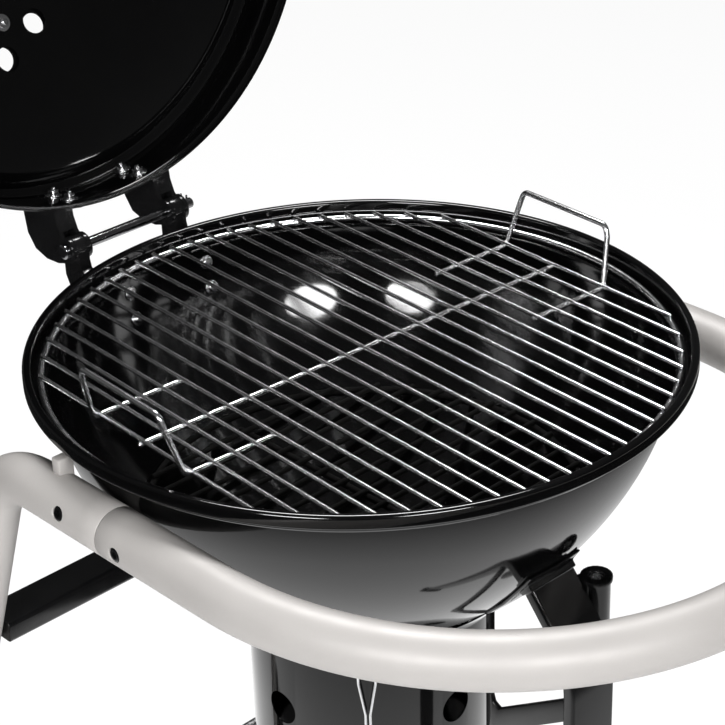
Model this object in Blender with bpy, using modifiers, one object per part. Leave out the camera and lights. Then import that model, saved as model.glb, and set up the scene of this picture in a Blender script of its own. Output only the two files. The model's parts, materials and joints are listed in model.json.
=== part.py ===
"""Round kettle charcoal grill on a three-legged tube trolley, in metres, +Z up.

The origin is on the floor in the middle of the grill's whole outline. The pieces are shaped
about the bowl's axis and moved there at the end. The loop handle and the single front leg point
to -Y, and the lid is hinged at the back, +Y. The rest pose has the lid open on its stop.
"""

import math

import bmesh
import bpy
from mathutils import Matrix, Vector

# Driving dimensions
GRATE_Z = 0.785            # height of the cooking bars
MIDDLE_Y = 0.05872         # from the bowl's axis back to the middle of the outline
GRATE_TURN = math.radians(-3.0)   # the loose grate sits a little turned in the bowl
SHEET = 0.0012             # enamelled steel
GAP = 0.0003               # between neighbouring pieces
ROUND = 48                 # steps of a large turned piece
PRESS = 1.65               # exponent of the pressed bowl and lid curves

# Bowl, heights from the cooking bars
LIP_R = 0.2854
LIP_TOP = 0.0093
LIP_DROP = 0.0118
SEAT_R = 0.2780            # inside radius above the grate ledge
LEDGE_Z = -0.0085
BOWL_R = 0.2670            # outside radius under the ledge
BOWL_TOP = -0.004
BOWL_DEEP = 0.2620
BOWL_FLOOR = 0.2430        # depth of the flat bottom
VENT_RING_R = 0.062
VENT_R = 0.012

# Lid, heights from its rim
RIM_Z = LIP_TOP + 0.0005   # closed height of the rim, from the cooking bars
RIM_R = 0.290
SKIRT_R = 0.2865
SKIRT_H = 0.0590
DOME_R = 0.2775
DOME_Z = 0.0625
LID_H = 0.158
LID_OPEN = math.radians(99.5)
LID_VENT_Y = 0.1321
LID_HOLE_RING = 0.0353
LID_HOLE_R = 0.012
LID_HOLE_TURN = math.radians(12)
DAMPER_R = 0.056

# Hinge, heights from the cooking bars
HINGE_Y = 0.321
HINGE_Z = 0.009
ROD_R = 0.005
EYE_R = 0.0125
STEM_IN = 0.052            # the bracket's stem, as distances from the centre plane
STEM_OUT = 0.064
EAR = 0.004
BOLT_X = 0.0455
LID_BOLT_X = 0.0415
LID_BOLT_H = (0.0192, 0.0455)
BOWL_BOLT_Z = (-0.023, -0.047)
BOLT_R = 0.0025

# Grates
WIRE = 0.002
FRAME_WIRE = 0.003
BARS = 23
BAR_STEP = 0.0208
RING_R = 0.2705
GRIP_WIRE = 0.0025
COAL_Z = -0.150
COAL_RING_R = 0.1925
COAL_BARS = 13
COAL_STEP = 0.026

# Tube trolley, heights from the cooking bars
TUBE_R = 0.022
WALL = 0.0015
LOOP_X = 0.283
LOOP_Z = -0.047
LOOP_BEND_Y = -0.141
LOOP_REACH = 0.290
SEAM_Y = -0.020
SLEEVE_Y = (-0.068, 0.050)
SCREW_Y = (0.028, -0.044)
SCREW_RISE = math.radians(15.0)   # how far the rear screw is turned up round the tube
REAR_BEND_Y = 0.133
REAR_BEND_R = 0.075
REAR_SPLAY = math.radians(20.0)
WHEEL_R = 0.100
AXLE_R = 0.006
AXLE_Z = WHEEL_R - GRATE_Z
AXLE_Y = REAR_BEND_Y + (LOOP_Z - AXLE_Z) * math.tan(REAR_SPLAY)
WHEEL_X = 0.333
TYRE_W = 0.038
BAR_DEEP = 0.041
BAR_TALL = 0.021
BAR_Z = -0.2585

# Front leg
LEG_W = 0.052
LEG_T = 0.012
LEG_TOP = (-0.217, -0.139)
LEG_LEAN = math.radians(40.0)
LEG_BEND_R = 0.1335
LEG_Y = -0.261
POST_AT = (0.0403, -0.2325)
POST_R = 0.012
POST_TOP = -0.145
POST_LOW = -0.300

# Ash catcher
FUNNEL = ((0.1460, -0.2055), (0.1300, -0.2250), (0.1135, -0.2400), (0.1065, -0.2465),
          (0.1065, -0.2570))
BUCKET_R = 0.1095
BUCKET_TOP = -0.2475
BUCKET_LOW = -0.388
AIR_R = 0.016
AIR_Z = -0.322
LATCH_AZ = math.radians(225.0)
LEVER_Z = -0.262
LEVER_AZ = math.radians(76.0)


def at(x, y, z):
    """A point given from the centre of the cooking bars, in world coordinates."""
    return Vector((x, y, GRATE_Z + z))


# Scene and materials

def clear_scene():
    for obj in list(bpy.data.objects):
        bpy.data.objects.remove(obj, do_unlink=True)


def new_collection(name, helper=False):
    collection = bpy.data.collections.new(name)
    bpy.context.scene.collection.children.link(collection)
    collection.hide_render = helper
    return collection


clear_scene()
PARTS = new_collection("kettle_grill")
CUTTERS = new_collection("cutters", helper=True)


def new_material(name, colour, roughness, metallic):
    material = bpy.data.materials.new(name)
    material.use_nodes = True
    shader = material.node_tree.nodes["Principled BSDF"]
    shader.inputs["Base Color"].default_value = (*colour, 1.0)
    shader.inputs["Roughness"].default_value = roughness
    shader.inputs["Metallic"].default_value = metallic
    return material


ENAMEL = new_material("enamel", (0.010, 0.010, 0.011), 0.12, 0.0)
BLACK_PAINT = new_material("black_paint", (0.016, 0.016, 0.017), 0.30, 0.0)
SATIN_PAINT = new_material("satin_silver_paint", (0.68, 0.64, 0.61), 0.42, 0.4)
CHROME = new_material("chrome_wire", (0.78, 0.78, 0.79), 0.14, 1.0)
ZINC = new_material("zinc_steel", (0.62, 0.62, 0.63), 0.28, 1.0)
RAW_STEEL = new_material("dark_steel", (0.20, 0.20, 0.21), 0.45, 1.0)
BLACK_PLASTIC = new_material("black_plastic", (0.025, 0.025, 0.026), 0.50, 0.0)
TYRE_RUBBER = new_material("tyre_rubber", (0.030, 0.030, 0.030), 0.75, 0.0)


# Shape helpers

def put(obj, material=None, collection=None):
    """Moves an object into its collection and gives it its material."""
    for old in list(obj.users_collection):
        old.objects.unlink(obj)
    (collection or PARTS).objects.link(obj)
    if material is not None:
        obj.data.materials.clear()
        obj.data.materials.append(material)
    return obj


def helper(obj):
    """Marks an object as a cutter or a guide."""
    put(obj, collection=CUTTERS)
    obj.hide_render = True
    obj.display_type = "WIRE"
    return obj


def mesh_object(name, bm, material=None, matrix=None):
    mesh = bpy.data.meshes.new(name)
    bmesh.ops.recalc_face_normals(bm, faces=bm.faces)
    bm.to_mesh(mesh)
    bm.free()
    obj = bpy.data.objects.new(name, mesh)
    if matrix is not None:
        obj.matrix_world = matrix
    return put(obj, material) if material else helper(obj)


def smooth(obj, degrees=35.0):
    obj.data.shade_smooth()
    obj.data.set_sharp_from_angle(angle=math.radians(degrees))
    return obj


def realised(obj, name=None):
    """The object with its modifiers or its curve turned into one plain welded mesh."""
    bpy.context.view_layer.update()
    graph = bpy.context.evaluated_depsgraph_get()
    mesh = bpy.data.meshes.new_from_object(obj.evaluated_get(graph))
    bm = bmesh.new()
    bm.from_mesh(mesh)
    bmesh.ops.remove_doubles(bm, verts=bm.verts, dist=0.00001)
    bmesh.ops.recalc_face_normals(bm, faces=bm.faces)
    bm.to_mesh(mesh)
    bm.free()
    made = bpy.data.objects.new(name or obj.name + "_mesh", mesh)
    made.matrix_world = obj.matrix_world.copy()
    bpy.data.objects.remove(obj, do_unlink=True)
    return helper(made)


def finish(obj, name, material):
    """Turns a worked helper into a named sub-part."""
    made = realised(obj, name + "_")
    made.hide_render = False
    made.display_type = "TEXTURED"
    made.name = name
    made.data.name = name
    return smooth(put(made, material))


def boolean(obj, other, operation):
    modifier = obj.modifiers.new(operation.lower(), "BOOLEAN")
    modifier.operation = operation
    modifier.solver = "EXACT"
    modifier.object = other
    made = realised(obj)
    return made


def cut(obj, *others):
    for other in others:
        obj = boolean(obj, other, "DIFFERENCE")
    return obj


def join(obj, *others):
    for other in others:
        obj = boolean(obj, other, "UNION")
    return obj


def common(obj, other):
    return boolean(obj, other, "INTERSECT")


def along(direction, origin=(0.0, 0.0, 0.0)):
    """A matrix that stands +Z on a direction at a point."""
    turn = Vector((0.0, 0.0, 1.0)).rotation_difference(Vector(direction).normalized())
    return Matrix.Translation(origin) @ turn.to_matrix().to_4x4()


def rod(start, end, radius, steps=16, tip=None):
    """A straight round bar, or a cone when it has a tip radius."""
    start = Vector(start)
    end = Vector(end)
    bm = bmesh.new()
    bmesh.ops.create_cone(bm, cap_ends=True, segments=steps, radius1=radius,
                          radius2=radius if tip is None else tip, depth=(end - start).length)
    return mesh_object("rod", bm, matrix=along(end - start, (start + end) / 2))


def block(low, high, bevel=0.0):
    """A box between two corners, with its edges rounded where a bevel is given."""
    low = Vector(low)
    high = Vector(high)
    bm = bmesh.new()
    bmesh.ops.create_cube(bm, size=1.0)
    bmesh.ops.scale(bm, vec=high - low, verts=bm.verts)
    if bevel:
        bmesh.ops.bevel(bm, geom=bm.edges[:], offset=bevel, segments=2, profile=0.5,
                        affect="EDGES")
    return mesh_object("block", bm, matrix=Matrix.Translation((low + high) / 2))


def turned(profile, steps=ROUND, centre=(0.0, 0.0, 0.0), thickness=0.0):
    """A profile of (radius, height) points turned about a vertical axis.

    It runs down the outer side, top to bottom. With a thickness it is an open sheet that
    grows inwards, or outwards when that is negative; without one it has to start and end
    on the axis.
    """
    bm = bmesh.new()
    verts = [bm.verts.new((r, 0.0, z)) for r, z in profile]
    for a, b in zip(verts, verts[1:]):
        bm.edges.new((a, b))
    obj = mesh_object("turned", bm, matrix=Matrix.Translation(centre))
    screw = obj.modifiers.new("turn", "SCREW")
    screw.steps = steps
    screw.render_steps = steps
    screw.use_merge_vertices = True
    screw.merge_threshold = 0.00001
    if thickness:
        solid = obj.modifiers.new("sheet", "SOLIDIFY")
        solid.thickness = abs(thickness)
        solid.offset = -1.0 if thickness > 0 else 1.0
        solid.use_even_offset = True
    return realised(obj)


def ring_of(profile, steps=ROUND, centre=(0.0, 0.0, 0.0)):
    """A closed profile loop turned about a vertical axis."""
    bm = bmesh.new()
    verts = [bm.verts.new((r, 0.0, z)) for r, z in profile]
    for a, b in zip(verts, verts[1:] + verts[:1]):
        bm.edges.new((a, b))
    obj = mesh_object("ring", bm, matrix=Matrix.Translation(centre))
    screw = obj.modifiers.new("turn", "SCREW")
    screw.steps = steps
    screw.render_steps = steps
    screw.use_merge_vertices = True
    screw.merge_threshold = 0.00001
    return realised(obj)


def wire(points, radius, cyclic=False, sides=2, hollow=0.0):
    """A round wire or tube along points. A hollow one has open ends and a wall."""
    data = bpy.data.curves.new("wire", "CURVE")
    data.dimensions = "3D"
    spline = data.splines.new("POLY")
    spline.points.add(len(points) - 1)
    for point, place in zip(spline.points, points):
        point.co = (*place, 1.0)
    spline.use_cyclic_u = cyclic
    data.bevel_depth = radius
    data.bevel_resolution = sides
    data.use_fill_caps = not cyclic and not hollow
    obj = bpy.data.objects.new("wire", data)
    CUTTERS.objects.link(obj)
    made = realised(obj)
    if hollow:
        solid = made.modifiers.new("wall", "SOLIDIFY")
        solid.thickness = hollow
        solid.offset = -1.0
        made = realised(made)
    return made


def plate(outline, low, high):
    """A flat outline of (y, z) points, given thickness along X between two distances."""
    data = bpy.data.curves.new("plate", "CURVE")
    data.dimensions = "2D"
    data.fill_mode = "BOTH"
    data.extrude = (high - low) / 2
    spline = data.splines.new("POLY")
    spline.points.add(len(outline) - 1)
    for point, (y, z) in zip(spline.points, outline):
        point.co = (y, z, 0.0, 1.0)
    spline.use_cyclic_u = True
    obj = bpy.data.objects.new("plate", data)
    CUTTERS.objects.link(obj)
    stand = Matrix(((0, 0, 1, (low + high) / 2), (1, 0, 0, 0), (0, 1, 0, 0), (0, 0, 0, 1)))
    obj.matrix_world = stand
    return realised(obj)


def arc(centre, radius, start, end, steps=8):
    """Points on an arc of (y, z), with the angles in degrees."""
    cy, cz = centre
    angles = [math.radians(start + (end - start) * i / steps) for i in range(steps + 1)]
    return [(cy + radius * math.cos(a), cz + radius * math.sin(a)) for a in angles]


def mirrored(obj):
    """A copy on the other side of the centre plane."""
    mesh = obj.data.copy()
    mesh.transform(Matrix.Scale(-1.0, 4, (1.0, 0.0, 0.0)) @ obj.matrix_world)
    mesh.flip_normals()
    made = bpy.data.objects.new("mirrored", mesh)
    return helper(made)


def pair(obj, name, material):
    """Finishes a piece of the right side and its copy on the left side."""
    left = mirrored(obj)
    return finish(left, name + "_left", material), finish(obj, name + "_right", material)


# Pressed curves

def press(radius, deep, r):
    """Depth of the pressed curve at a distance r from its axis."""
    return deep * max(0.0, 1.0 - (r / radius) ** PRESS) ** (1.0 / PRESS)


def press_points(radius, deep, start=0.0, floor=None, steps=9):
    """(radius, depth) points of the pressed curve, from a start depth to the axis.

    With a floor the curve ends in a flat disc at that depth.
    """
    floor = deep if floor is None else floor
    first = math.asin((start / deep) ** (PRESS / 2))
    last = math.asin((floor / deep) ** (PRESS / 2))
    found = []
    for i in range(steps + 1):
        angle = first + (last - first) * i / steps
        found.append((radius * math.cos(angle) ** (2 / PRESS),
                      deep * math.sin(angle) ** (2 / PRESS)))
    if floor == deep:
        found.pop()
    return found + [(0.0, floor)]


BOWL_START = BOWL_TOP - LEDGE_Z


def bowl_curve(grow):
    """(radius, height) points of the bowl's outside under its ledge, grown by a distance."""
    points = press_points(BOWL_R + grow, BOWL_DEEP + grow, BOWL_START, BOWL_FLOOR + grow)
    return [(r, BOWL_TOP - deep) for r, deep in points]


def bowl_solid(grow):
    """The space that the bowl's outside fills under its ledge, grown by a distance."""
    curve = bowl_curve(grow)
    return turned([(0.0, 0.0), (curve[0][0], 0.0)] + curve, centre=at(0, 0, 0))


def lid_solid(grow):
    """The space that the closed lid's outside fills, grown by a distance."""
    points = [(r, DOME_Z + high) for r, high in
              reversed(press_points(DOME_R + grow, LID_H - DOME_Z + grow))]
    points += [(SKIRT_R + grow, SKIRT_H), (SKIRT_R + grow, 0.006 + grow),
               (RIM_R + grow, 0.004 + grow), (RIM_R + grow, -0.001), (0.0, -0.001)]
    return turned(points, centre=at(0, 0, RIM_Z))


def bowl_wall(x, z):
    """A point of the bowl's outside at the back, and its outward normal."""
    r = BOWL_R * max(0.0, 1.0 - ((BOWL_TOP - z) / BOWL_DEEP) ** PRESS) ** (1.0 / PRESS)
    y = math.sqrt(r * r - x * x)
    side = (r / BOWL_R) ** (PRESS - 1.0) / BOWL_R
    down = ((BOWL_TOP - z) / BOWL_DEEP) ** (PRESS - 1.0) / BOWL_DEEP
    return at(x, y, z), Vector((side * x / r, side * y / r, -down)).normalized()


# Bowl and lid

def build_bowl():
    inside = [(LIP_R, LIP_TOP - LIP_DROP), (LIP_R, LIP_TOP - 0.0020), (LIP_R - 0.0016, LIP_TOP),
              (SEAT_R + 0.0022, LIP_TOP), (SEAT_R, LIP_TOP - 0.0022), (SEAT_R, LEDGE_Z + 0.0030),
              (SEAT_R - 0.0024, LEDGE_Z)]
    inside += bowl_curve(-SHEET)
    bowl = turned(inside, centre=at(0, 0, 0), thickness=-SHEET)
    holes = []
    for i in range(6):
        a = math.radians(60 * i + 30)
        x = VENT_RING_R * math.cos(a)
        y = VENT_RING_R * math.sin(a)
        holes.append(rod(at(x, y, -0.30), at(x, y, -0.15), VENT_R, 12))
    holes.append(rod(at(0, 0, -0.30), at(0, 0, -0.20), 0.0056, 12))
    for side in (-1, 1):
        for z in BOWL_BOLT_Z:
            point, normal = bowl_wall(side * BOLT_X, z)
            holes.append(rod(point - normal * 0.012, point + normal * 0.012,
                             BOLT_R + GAP, 8))
    finish(cut(bowl, *holes), "bowl", ENAMEL)


def lid_frame():
    """The closed lid, turned open about its hinge."""
    pivot = Matrix.Translation(at(0, HINGE_Y, HINGE_Z))
    return pivot @ Matrix.Rotation(-LID_OPEN, 4, "X") @ pivot.inverted()


def open_lid(obj):
    obj.matrix_world = lid_frame() @ obj.matrix_world
    return obj


def lid_vent():
    """The vent's centre on the closed lid's outside, its outward normal and a side way."""
    y = LID_VENT_Y
    high = press(DOME_R, LID_H - DOME_Z, y)
    out = (y / DOME_R) ** (PRESS - 1.0) / DOME_R
    up = (high / (LID_H - DOME_Z)) ** (PRESS - 1.0) / (LID_H - DOME_Z)
    normal = Vector((0.0, out, up)).normalized()
    return at(0, y, RIM_Z + DOME_Z + high), normal


def vent_holes(point, normal, turn=0.0):
    side = Vector((1.0, 0.0, 0.0))
    other = normal.cross(side)
    made = []
    for i in range(4):
        a = math.radians(90 * i) + LID_HOLE_TURN + turn
        place = point + (side * math.cos(a) + other * math.sin(a)) * LID_HOLE_RING
        made.append(rod(place - normal * 0.03, place + normal * 0.02, LID_HOLE_R, 16))
    return made


def build_lid():
    outside = [(r, DOME_Z + high) for r, high in
               reversed(press_points(DOME_R, LID_H - DOME_Z))]
    outside += [(SKIRT_R - 0.0025, SKIRT_H), (SKIRT_R, SKIRT_H - 0.0025), (SKIRT_R, 0.0060),
                (RIM_R - 0.0006, 0.0040), (RIM_R, 0.0020), (RIM_R - 0.0006, 0.0)]
    lid = turned(outside, centre=at(0, 0, RIM_Z), thickness=SHEET)
    point, normal = lid_vent()
    holes = vent_holes(point, normal)
    holes.append(rod(point - normal * 0.02, point + normal * 0.02, 0.0033, 12))
    for side in (-1, 1):
        for high in LID_BOLT_H:
            place, out = lid_wall(side * LID_BOLT_X, high)
            holes.append(rod(place - out * 0.012, place + out * 0.012, BOLT_R + GAP, 8))
        place, out = handle_foot(side)
        holes.append(rod(place - out * 0.02, place + out * 0.02, 0.0028, 8))
    finish(open_lid(cut(lid, *holes)), "lid", ENAMEL)


def lid_wall(x, high):
    """A point of the lid's skirt at the back, and its outward normal, for the closed lid."""
    y = math.sqrt(SKIRT_R ** 2 - x * x)
    return at(x, y, RIM_Z + high), Vector((x, y, 0.0)).normalized()


def build_lid_vent():
    point, normal = lid_vent()
    disc = rod(point + normal * 0.0012, point + normal * 0.0026, DAMPER_R, 32)
    tab = rod(point + normal * 0.0012, point + normal * 0.016, 0.003, 8)
    tab.matrix_world = Matrix.Translation(normal.cross(Vector((1, 0, 0))) * 0.050) @ tab.matrix_world
    holes = vent_holes(point, normal, math.radians(6))
    holes.append(rod(point - normal * 0.02, point + normal * 0.02, 0.0033, 12))
    finish(open_lid(cut(join(disc, tab), *holes)), "lid_damper", ENAMEL)
    shank = rod(point - normal * 0.0080, point + normal * 0.0060, 0.0030, 12)
    head = rod(point + normal * 0.0030, point + normal * 0.0060, 0.0075, 16)
    nut = rod(point - normal * 0.0065, point - normal * 0.0020, 0.0065, 6)
    finish(open_lid(join(shank, head, nut)), "lid_damper_bolt", CHROME)


HANDLE_X = 0.062
HANDLE_R_AT = 0.215
HANDLE_OUT = 0.046


def handle_foot(side):
    """Where a handle stand meets the closed lid's outside, and the outward normal."""
    y = -HANDLE_R_AT
    r = math.hypot(HANDLE_X, y)
    high = press(DOME_R, LID_H - DOME_Z, r)
    out = (r / DOME_R) ** (PRESS - 1.0) / DOME_R
    up = (high / (LID_H - DOME_Z)) ** (PRESS - 1.0) / (LID_H - DOME_Z)
    normal = Vector((0.0, out * y / r, up)).normalized()
    return at(side * HANDLE_X, y, RIM_Z + DOME_Z + high), normal


def build_handle():
    for side, name in ((-1, "left"), (1, "right")):
        place, out = handle_foot(side)
        post = rod(place + out * 0.0040, place + out * (HANDLE_OUT - 0.0095), 0.007, 16)
        foot = rod(place + out * 0.0035, place + out * 0.0075, 0.012, 16)
        bolt = rod(place - out * 0.0070, place + out * 0.0100, 0.0025, 8)
        nut = rod(place - out * 0.0065, place - out * 0.0034, 0.0050, 6)
        finish(open_lid(join(post, foot, bolt, nut)), "lid_handle_stand_" + name, ZINC)
    ends = [handle_foot(side)[0] + handle_foot(side)[1] * HANDLE_OUT for side in (-1, 1)]
    reach = Vector((0.016, 0.0, 0.0))
    points = [ends[0] - reach, ends[0] - reach * 0.8, ends[1] + reach * 0.8, ends[1] + reach]
    radii = (0.0065, 0.009, 0.009, 0.0065)
    grip = rod(points[0], points[1], radii[0], 16, radii[1])
    middle = rod(points[1] - reach * 0.02, points[2] + reach * 0.02, radii[1], 16)
    end = rod(points[2], points[3], radii[2], 16, radii[3])
    finish(open_lid(join(middle, grip, end)), "lid_handle_grip", BLACK_PLASTIC)


# Hinge

def build_hinge():
    pivot = (HINGE_Y, GRATE_Z + HINGE_Z)
    low = STEM_IN - GAP - EAR
    high = STEM_OUT + GAP + EAR

    def from_pivot(points):
        return [(pivot[0] + y, pivot[1] + z) for y, z in points]

    shell = from_pivot([(-0.060, 0.008), (-0.027, 0.009), (-0.014, 0.006)])
    shell += arc(pivot, EYE_R, 160, 360, 10)
    shell += from_pivot([(0.015, 0.018), (0.013, 0.036), (0.005, 0.052), (-0.010, 0.060),
                         (-0.060, 0.060)])
    arm = plate(shell, low, high)
    slot = block((STEM_IN - GAP, pivot[0] - 0.016, pivot[1] - 0.020),
                 (STEM_OUT + GAP, pivot[0] + 0.020, pivot[1] + 0.018))
    flange = common(block(at(0.036, 0.26, RIM_Z + 0.008), at(low + 0.006, 0.30, RIM_Z + 0.058)),
                    lid_solid(GAP + 0.003))
    arm = join(cut(arm, slot), flange)
    holes = [rod((0, *pivot), (0.1, *pivot), ROD_R + GAP, 16)]
    for height in LID_BOLT_H:
        place, out = lid_wall(LID_BOLT_X, height)
        holes.append(rod(place - out * 0.004, place + out * 0.012, BOLT_R + GAP, 8))
    arm = cut(arm, lid_solid(GAP), *holes)
    for made in (mirrored(arm), arm):
        side = "left" if made.name.startswith("mirrored") else "right"
        finish(open_lid(made), "lid_hinge_arm_" + side, BLACK_PAINT)

    below = GRATE_Z
    outline = [(0.240, below - 0.012), (0.3000, below - 0.012), (0.3065, below - 0.0085),
               (0.3085, below - 0.001), (0.3085, below + HINGE_Z)]
    outline += arc(pivot, EYE_R - 0.0003, 180, 0, 10)
    outline += [(0.3325, below - 0.020), (0.3220, below - 0.042), (0.3000, below - 0.056),
                (0.240, below - 0.058)]
    stem = plate(outline, STEM_IN, STEM_OUT)
    flange = common(block(at(0.039, 0.235, -0.060), at(0.068, 0.290, -0.010)),
                    bowl_solid(GAP + 0.003))
    holes = [rod((0, *pivot), (0.1, *pivot), ROD_R + GAP, 16)]
    for z in BOWL_BOLT_Z:
        place, out = bowl_wall(BOLT_X, z)
        holes.append(rod(place - out * 0.004, place + out * 0.012, BOLT_R + GAP, 8))
    bracket = cut(join(stem, flange), bowl_solid(GAP), *holes)
    pair(bracket, "bowl_hinge_bracket", BLACK_PAINT)

    edge = high + 0.0035
    pin = join(rod((-edge, *pivot), (edge + 0.009, *pivot), ROD_R, 16),
               rod((-edge - 0.002, *pivot), (-high - GAP, *pivot), 0.0085, 20))
    pin = cut(pin, rod((edge + 0.004, pivot[0], pivot[1] - 0.01),
                       (edge + 0.004, pivot[0], pivot[1] + 0.01), 0.0014, 8))
    finish(pin, "hinge_rod", ZINC)
    x = edge + 0.004
    y, z = pivot
    clip = [(x, y, z + 0.009), (x, y, z - 0.010), (x, y + 0.003, z - 0.0135),
            (x, y + 0.0075, z - 0.0125), (x, y + 0.0085, z - 0.008), (x, y + 0.0072, z),
            (x, y + 0.0085, z + 0.008)]
    finish(wire(clip, 0.0010, sides=1), "hinge_clip", ZINC)


def bolt(place, out, inner, outer, washer_r):
    """A bolt whose head is inside a sheet and whose nut is outside, on one axis."""
    head = rod(place - out * (inner + 0.0030), place - out * inner, 0.0050, 12)
    washer = rod(place - out * (inner + 0.0004), place - out * (SHEET + 0.0012),
                 washer_r, 12)
    shank = rod(place - out * inner, place + out * (outer + 0.0050), BOLT_R, 10)
    nut = rod(place + out * outer, place + out * (outer + 0.0035), 0.0045, 6)
    return join(shank, head, washer, nut)


def build_hinge_bolts():
    for side, name in ((-1, "left"), (1, "right")):
        for high, level in zip(LID_BOLT_H, ("lower", "upper")):
            place, out = lid_wall(side * LID_BOLT_X, high)
            made = bolt(place, out, 0.0034, 0.0045, 0.0055)
            finish(open_lid(made), f"lid_hinge_bolt_{name}_{level}", ZINC)
        for z, level in zip(BOWL_BOLT_Z, ("upper", "lower")):
            place, out = bowl_wall(side * BOLT_X, z)
            made = bolt(place, out, 0.0036, 0.0048, 0.0062)
            finish(made, f"bowl_hinge_bolt_{name}_{level}", ZINC)


# Grates

def bar_set(count, step, ring, radius, z):
    """Parallel bars across a ring, along Y, as one mesh of separate bars."""
    made = None
    for i in range(count):
        x = (i - (count - 1) / 2) * step
        half = math.sqrt(ring * ring - x * x) + 0.001
        bm = bmesh.new()
        bmesh.ops.create_cone(bm, cap_ends=True, segments=6, radius1=radius, radius2=radius,
                              depth=2 * half)
        bmesh.ops.rotate(bm, matrix=Matrix.Rotation(math.pi / 2, 3, "X"), verts=bm.verts)
        bmesh.ops.translate(bm, vec=(x, 0, z), verts=bm.verts)
        mesh = bpy.data.meshes.new("bar")
        bm.to_mesh(mesh)
        bm.free()
        if made is None:
            made = bmesh.new()
        made.from_mesh(mesh)
        bpy.data.meshes.remove(mesh)
    return mesh_object("bars", made)


def circle_points(radius, z, steps):
    return [(radius * math.cos(2 * math.pi * i / steps), radius * math.sin(2 * math.pi * i / steps), z)
            for i in range(steps)]


def build_cooking_grate():
    rest = -WIRE - FRAME_WIRE + 0.0006
    ring = wire(circle_points(RING_R, rest, 44), FRAME_WIRE, cyclic=True, sides=1)
    bars = bar_set(BARS, BAR_STEP, RING_R, WIRE, 0.0)
    below = -WIRE - GRIP_WIRE + 0.0006
    middle = rod((-0.232, 0, below), (0.232, 0, below), GRIP_WIRE, 6)
    grips = []
    for side in (-1, 1):
        path = [(0.143, -0.062, below), (0.230, -0.062, below), (0.2345, -0.0618, below + 0.005),
                (0.2440, -0.0530, 0.043), (0.2450, -0.0510, 0.0475), (0.2455, -0.0465, 0.0500)]
        path = [(side * x, y, z) for x, y, z in path]
        path += [(x, -y, z) for x, y, z in reversed(path)]
        grips.append(wire(path, GRIP_WIRE, sides=1))
    grate = join(ring, bars, middle, *grips)
    grate.matrix_world = Matrix.Translation(at(0, 0, 0)) @ Matrix.Rotation(GRATE_TURN, 4, "Z")
    finish(grate, "cooking_grate", CHROME)


def build_charcoal_grate():
    ring = wire(circle_points(COAL_RING_R, 0.0, 40), FRAME_WIRE, cyclic=True, sides=1)
    bars = bar_set(COAL_BARS, COAL_STEP, COAL_RING_R, 0.0025, 0.0046)
    middle = rod((-0.168, 0, 0.0), (0.168, 0, 0.0), FRAME_WIRE, 6)
    grate = join(ring, bars, middle)
    grate.matrix_world = Matrix.Translation(at(0, 0, COAL_Z)) @ Matrix.Rotation(math.pi / 2, 4, "Z")
    finish(grate, "charcoal_grate", RAW_STEEL)


# Ash parts

def lever_slot():
    """A cutter for the slot that the lever swings in, open at the bucket's top edge."""
    slot = block((0.06, -0.055, -0.0065), (0.14, 0.055, 0.0165))
    slot.matrix_world = (Matrix.Translation(at(0, 0, LEVER_Z)) @ Matrix.Rotation(LEVER_AZ, 4, "Z")
                         @ slot.matrix_world)
    return slot


def build_ash_parts():
    blades = None
    for i in range(3):
        blade = block((0.0, -0.0016, -0.30), (0.088, 0.0016, -0.10))
        blade.matrix_world = (Matrix.Translation(at(0, 0, 0)) @ Matrix.Rotation(2 * math.pi * i / 3, 4, "Z")
                              @ blade.matrix_world)
        blades = blade if blades is None else join(blades, blade)
    blades = common(blades, bowl_solid(-SHEET - 0.0015))
    blades = cut(blades, bowl_solid(-SHEET - 0.0105))
    hub = rod(at(0, 0, -0.2440), at(0, 0, -0.230), 0.011, 16)
    spindle = rod(at(0, 0, LEVER_Z - 0.010), at(0, 0, -0.240), 0.005, 12)
    finish(join(blades, hub, spindle), "ash_sweeper", RAW_STEEL)

    way = Vector((math.cos(LEVER_AZ), math.sin(LEVER_AZ), 0.0))
    middle = at(0, 0, LEVER_Z)
    collar = rod(middle - Vector((0, 0, 0.006)), middle + Vector((0, 0, 0.006)), 0.010, 16)
    arm = rod(middle + way * 0.007, middle + way * 0.160, 0.003, 8)
    knob = rod(middle + way * 0.150, middle + way * 0.182, 0.008, 14)
    lever = cut(join(collar, arm, knob), rod(middle - Vector((0, 0, 0.02)),
                                             middle + Vector((0, 0, 0.02)), 0.0053, 12))
    finish(lever, "sweeper_lever", ZINC)

    funnel = turned([(r, z) for r, z in FUNNEL], steps=40, centre=at(0, 0, 0), thickness=SHEET)
    finish(cut(funnel, lever_slot()), "ash_funnel", ENAMEL)

    bucket = turned([(BUCKET_R, BUCKET_TOP), (BUCKET_R, BUCKET_LOW + 0.006),
                     (BUCKET_R - 0.006, BUCKET_LOW), (0.0, BUCKET_LOW)], steps=40,
                    centre=at(0, 0, 0), thickness=SHEET)
    holes = []
    for i in range(4):
        a = math.pi / 2 * i
        way = Vector((math.cos(a), math.sin(a), 0.0))
        holes.append(rod(at(0, 0, AIR_Z) + way * 0.09, at(0, 0, AIR_Z) + way * 0.12, AIR_R, 16))
    bucket = cut(bucket, lever_slot(), *holes)
    for turn, name in ((0.0, "front"), (math.pi, "rear")):
        lug = latch_lug(turn)
        bucket = join(bucket, lug)
        finish(latch_wire(turn), "bucket_latch_" + name, CHROME)
    finish(bucket, "ash_bucket", ENAMEL)


LATCH_PIVOT_Z = -0.350
LATCH_PIVOT_R = BUCKET_R + 0.0045


def latch_frame(turn):
    """X points out from the bucket at a latch, Y runs around it, and Z is up."""
    return Matrix.Translation(at(0, 0, 0)) @ Matrix.Rotation(LATCH_AZ + turn, 4, "Z")


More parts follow.
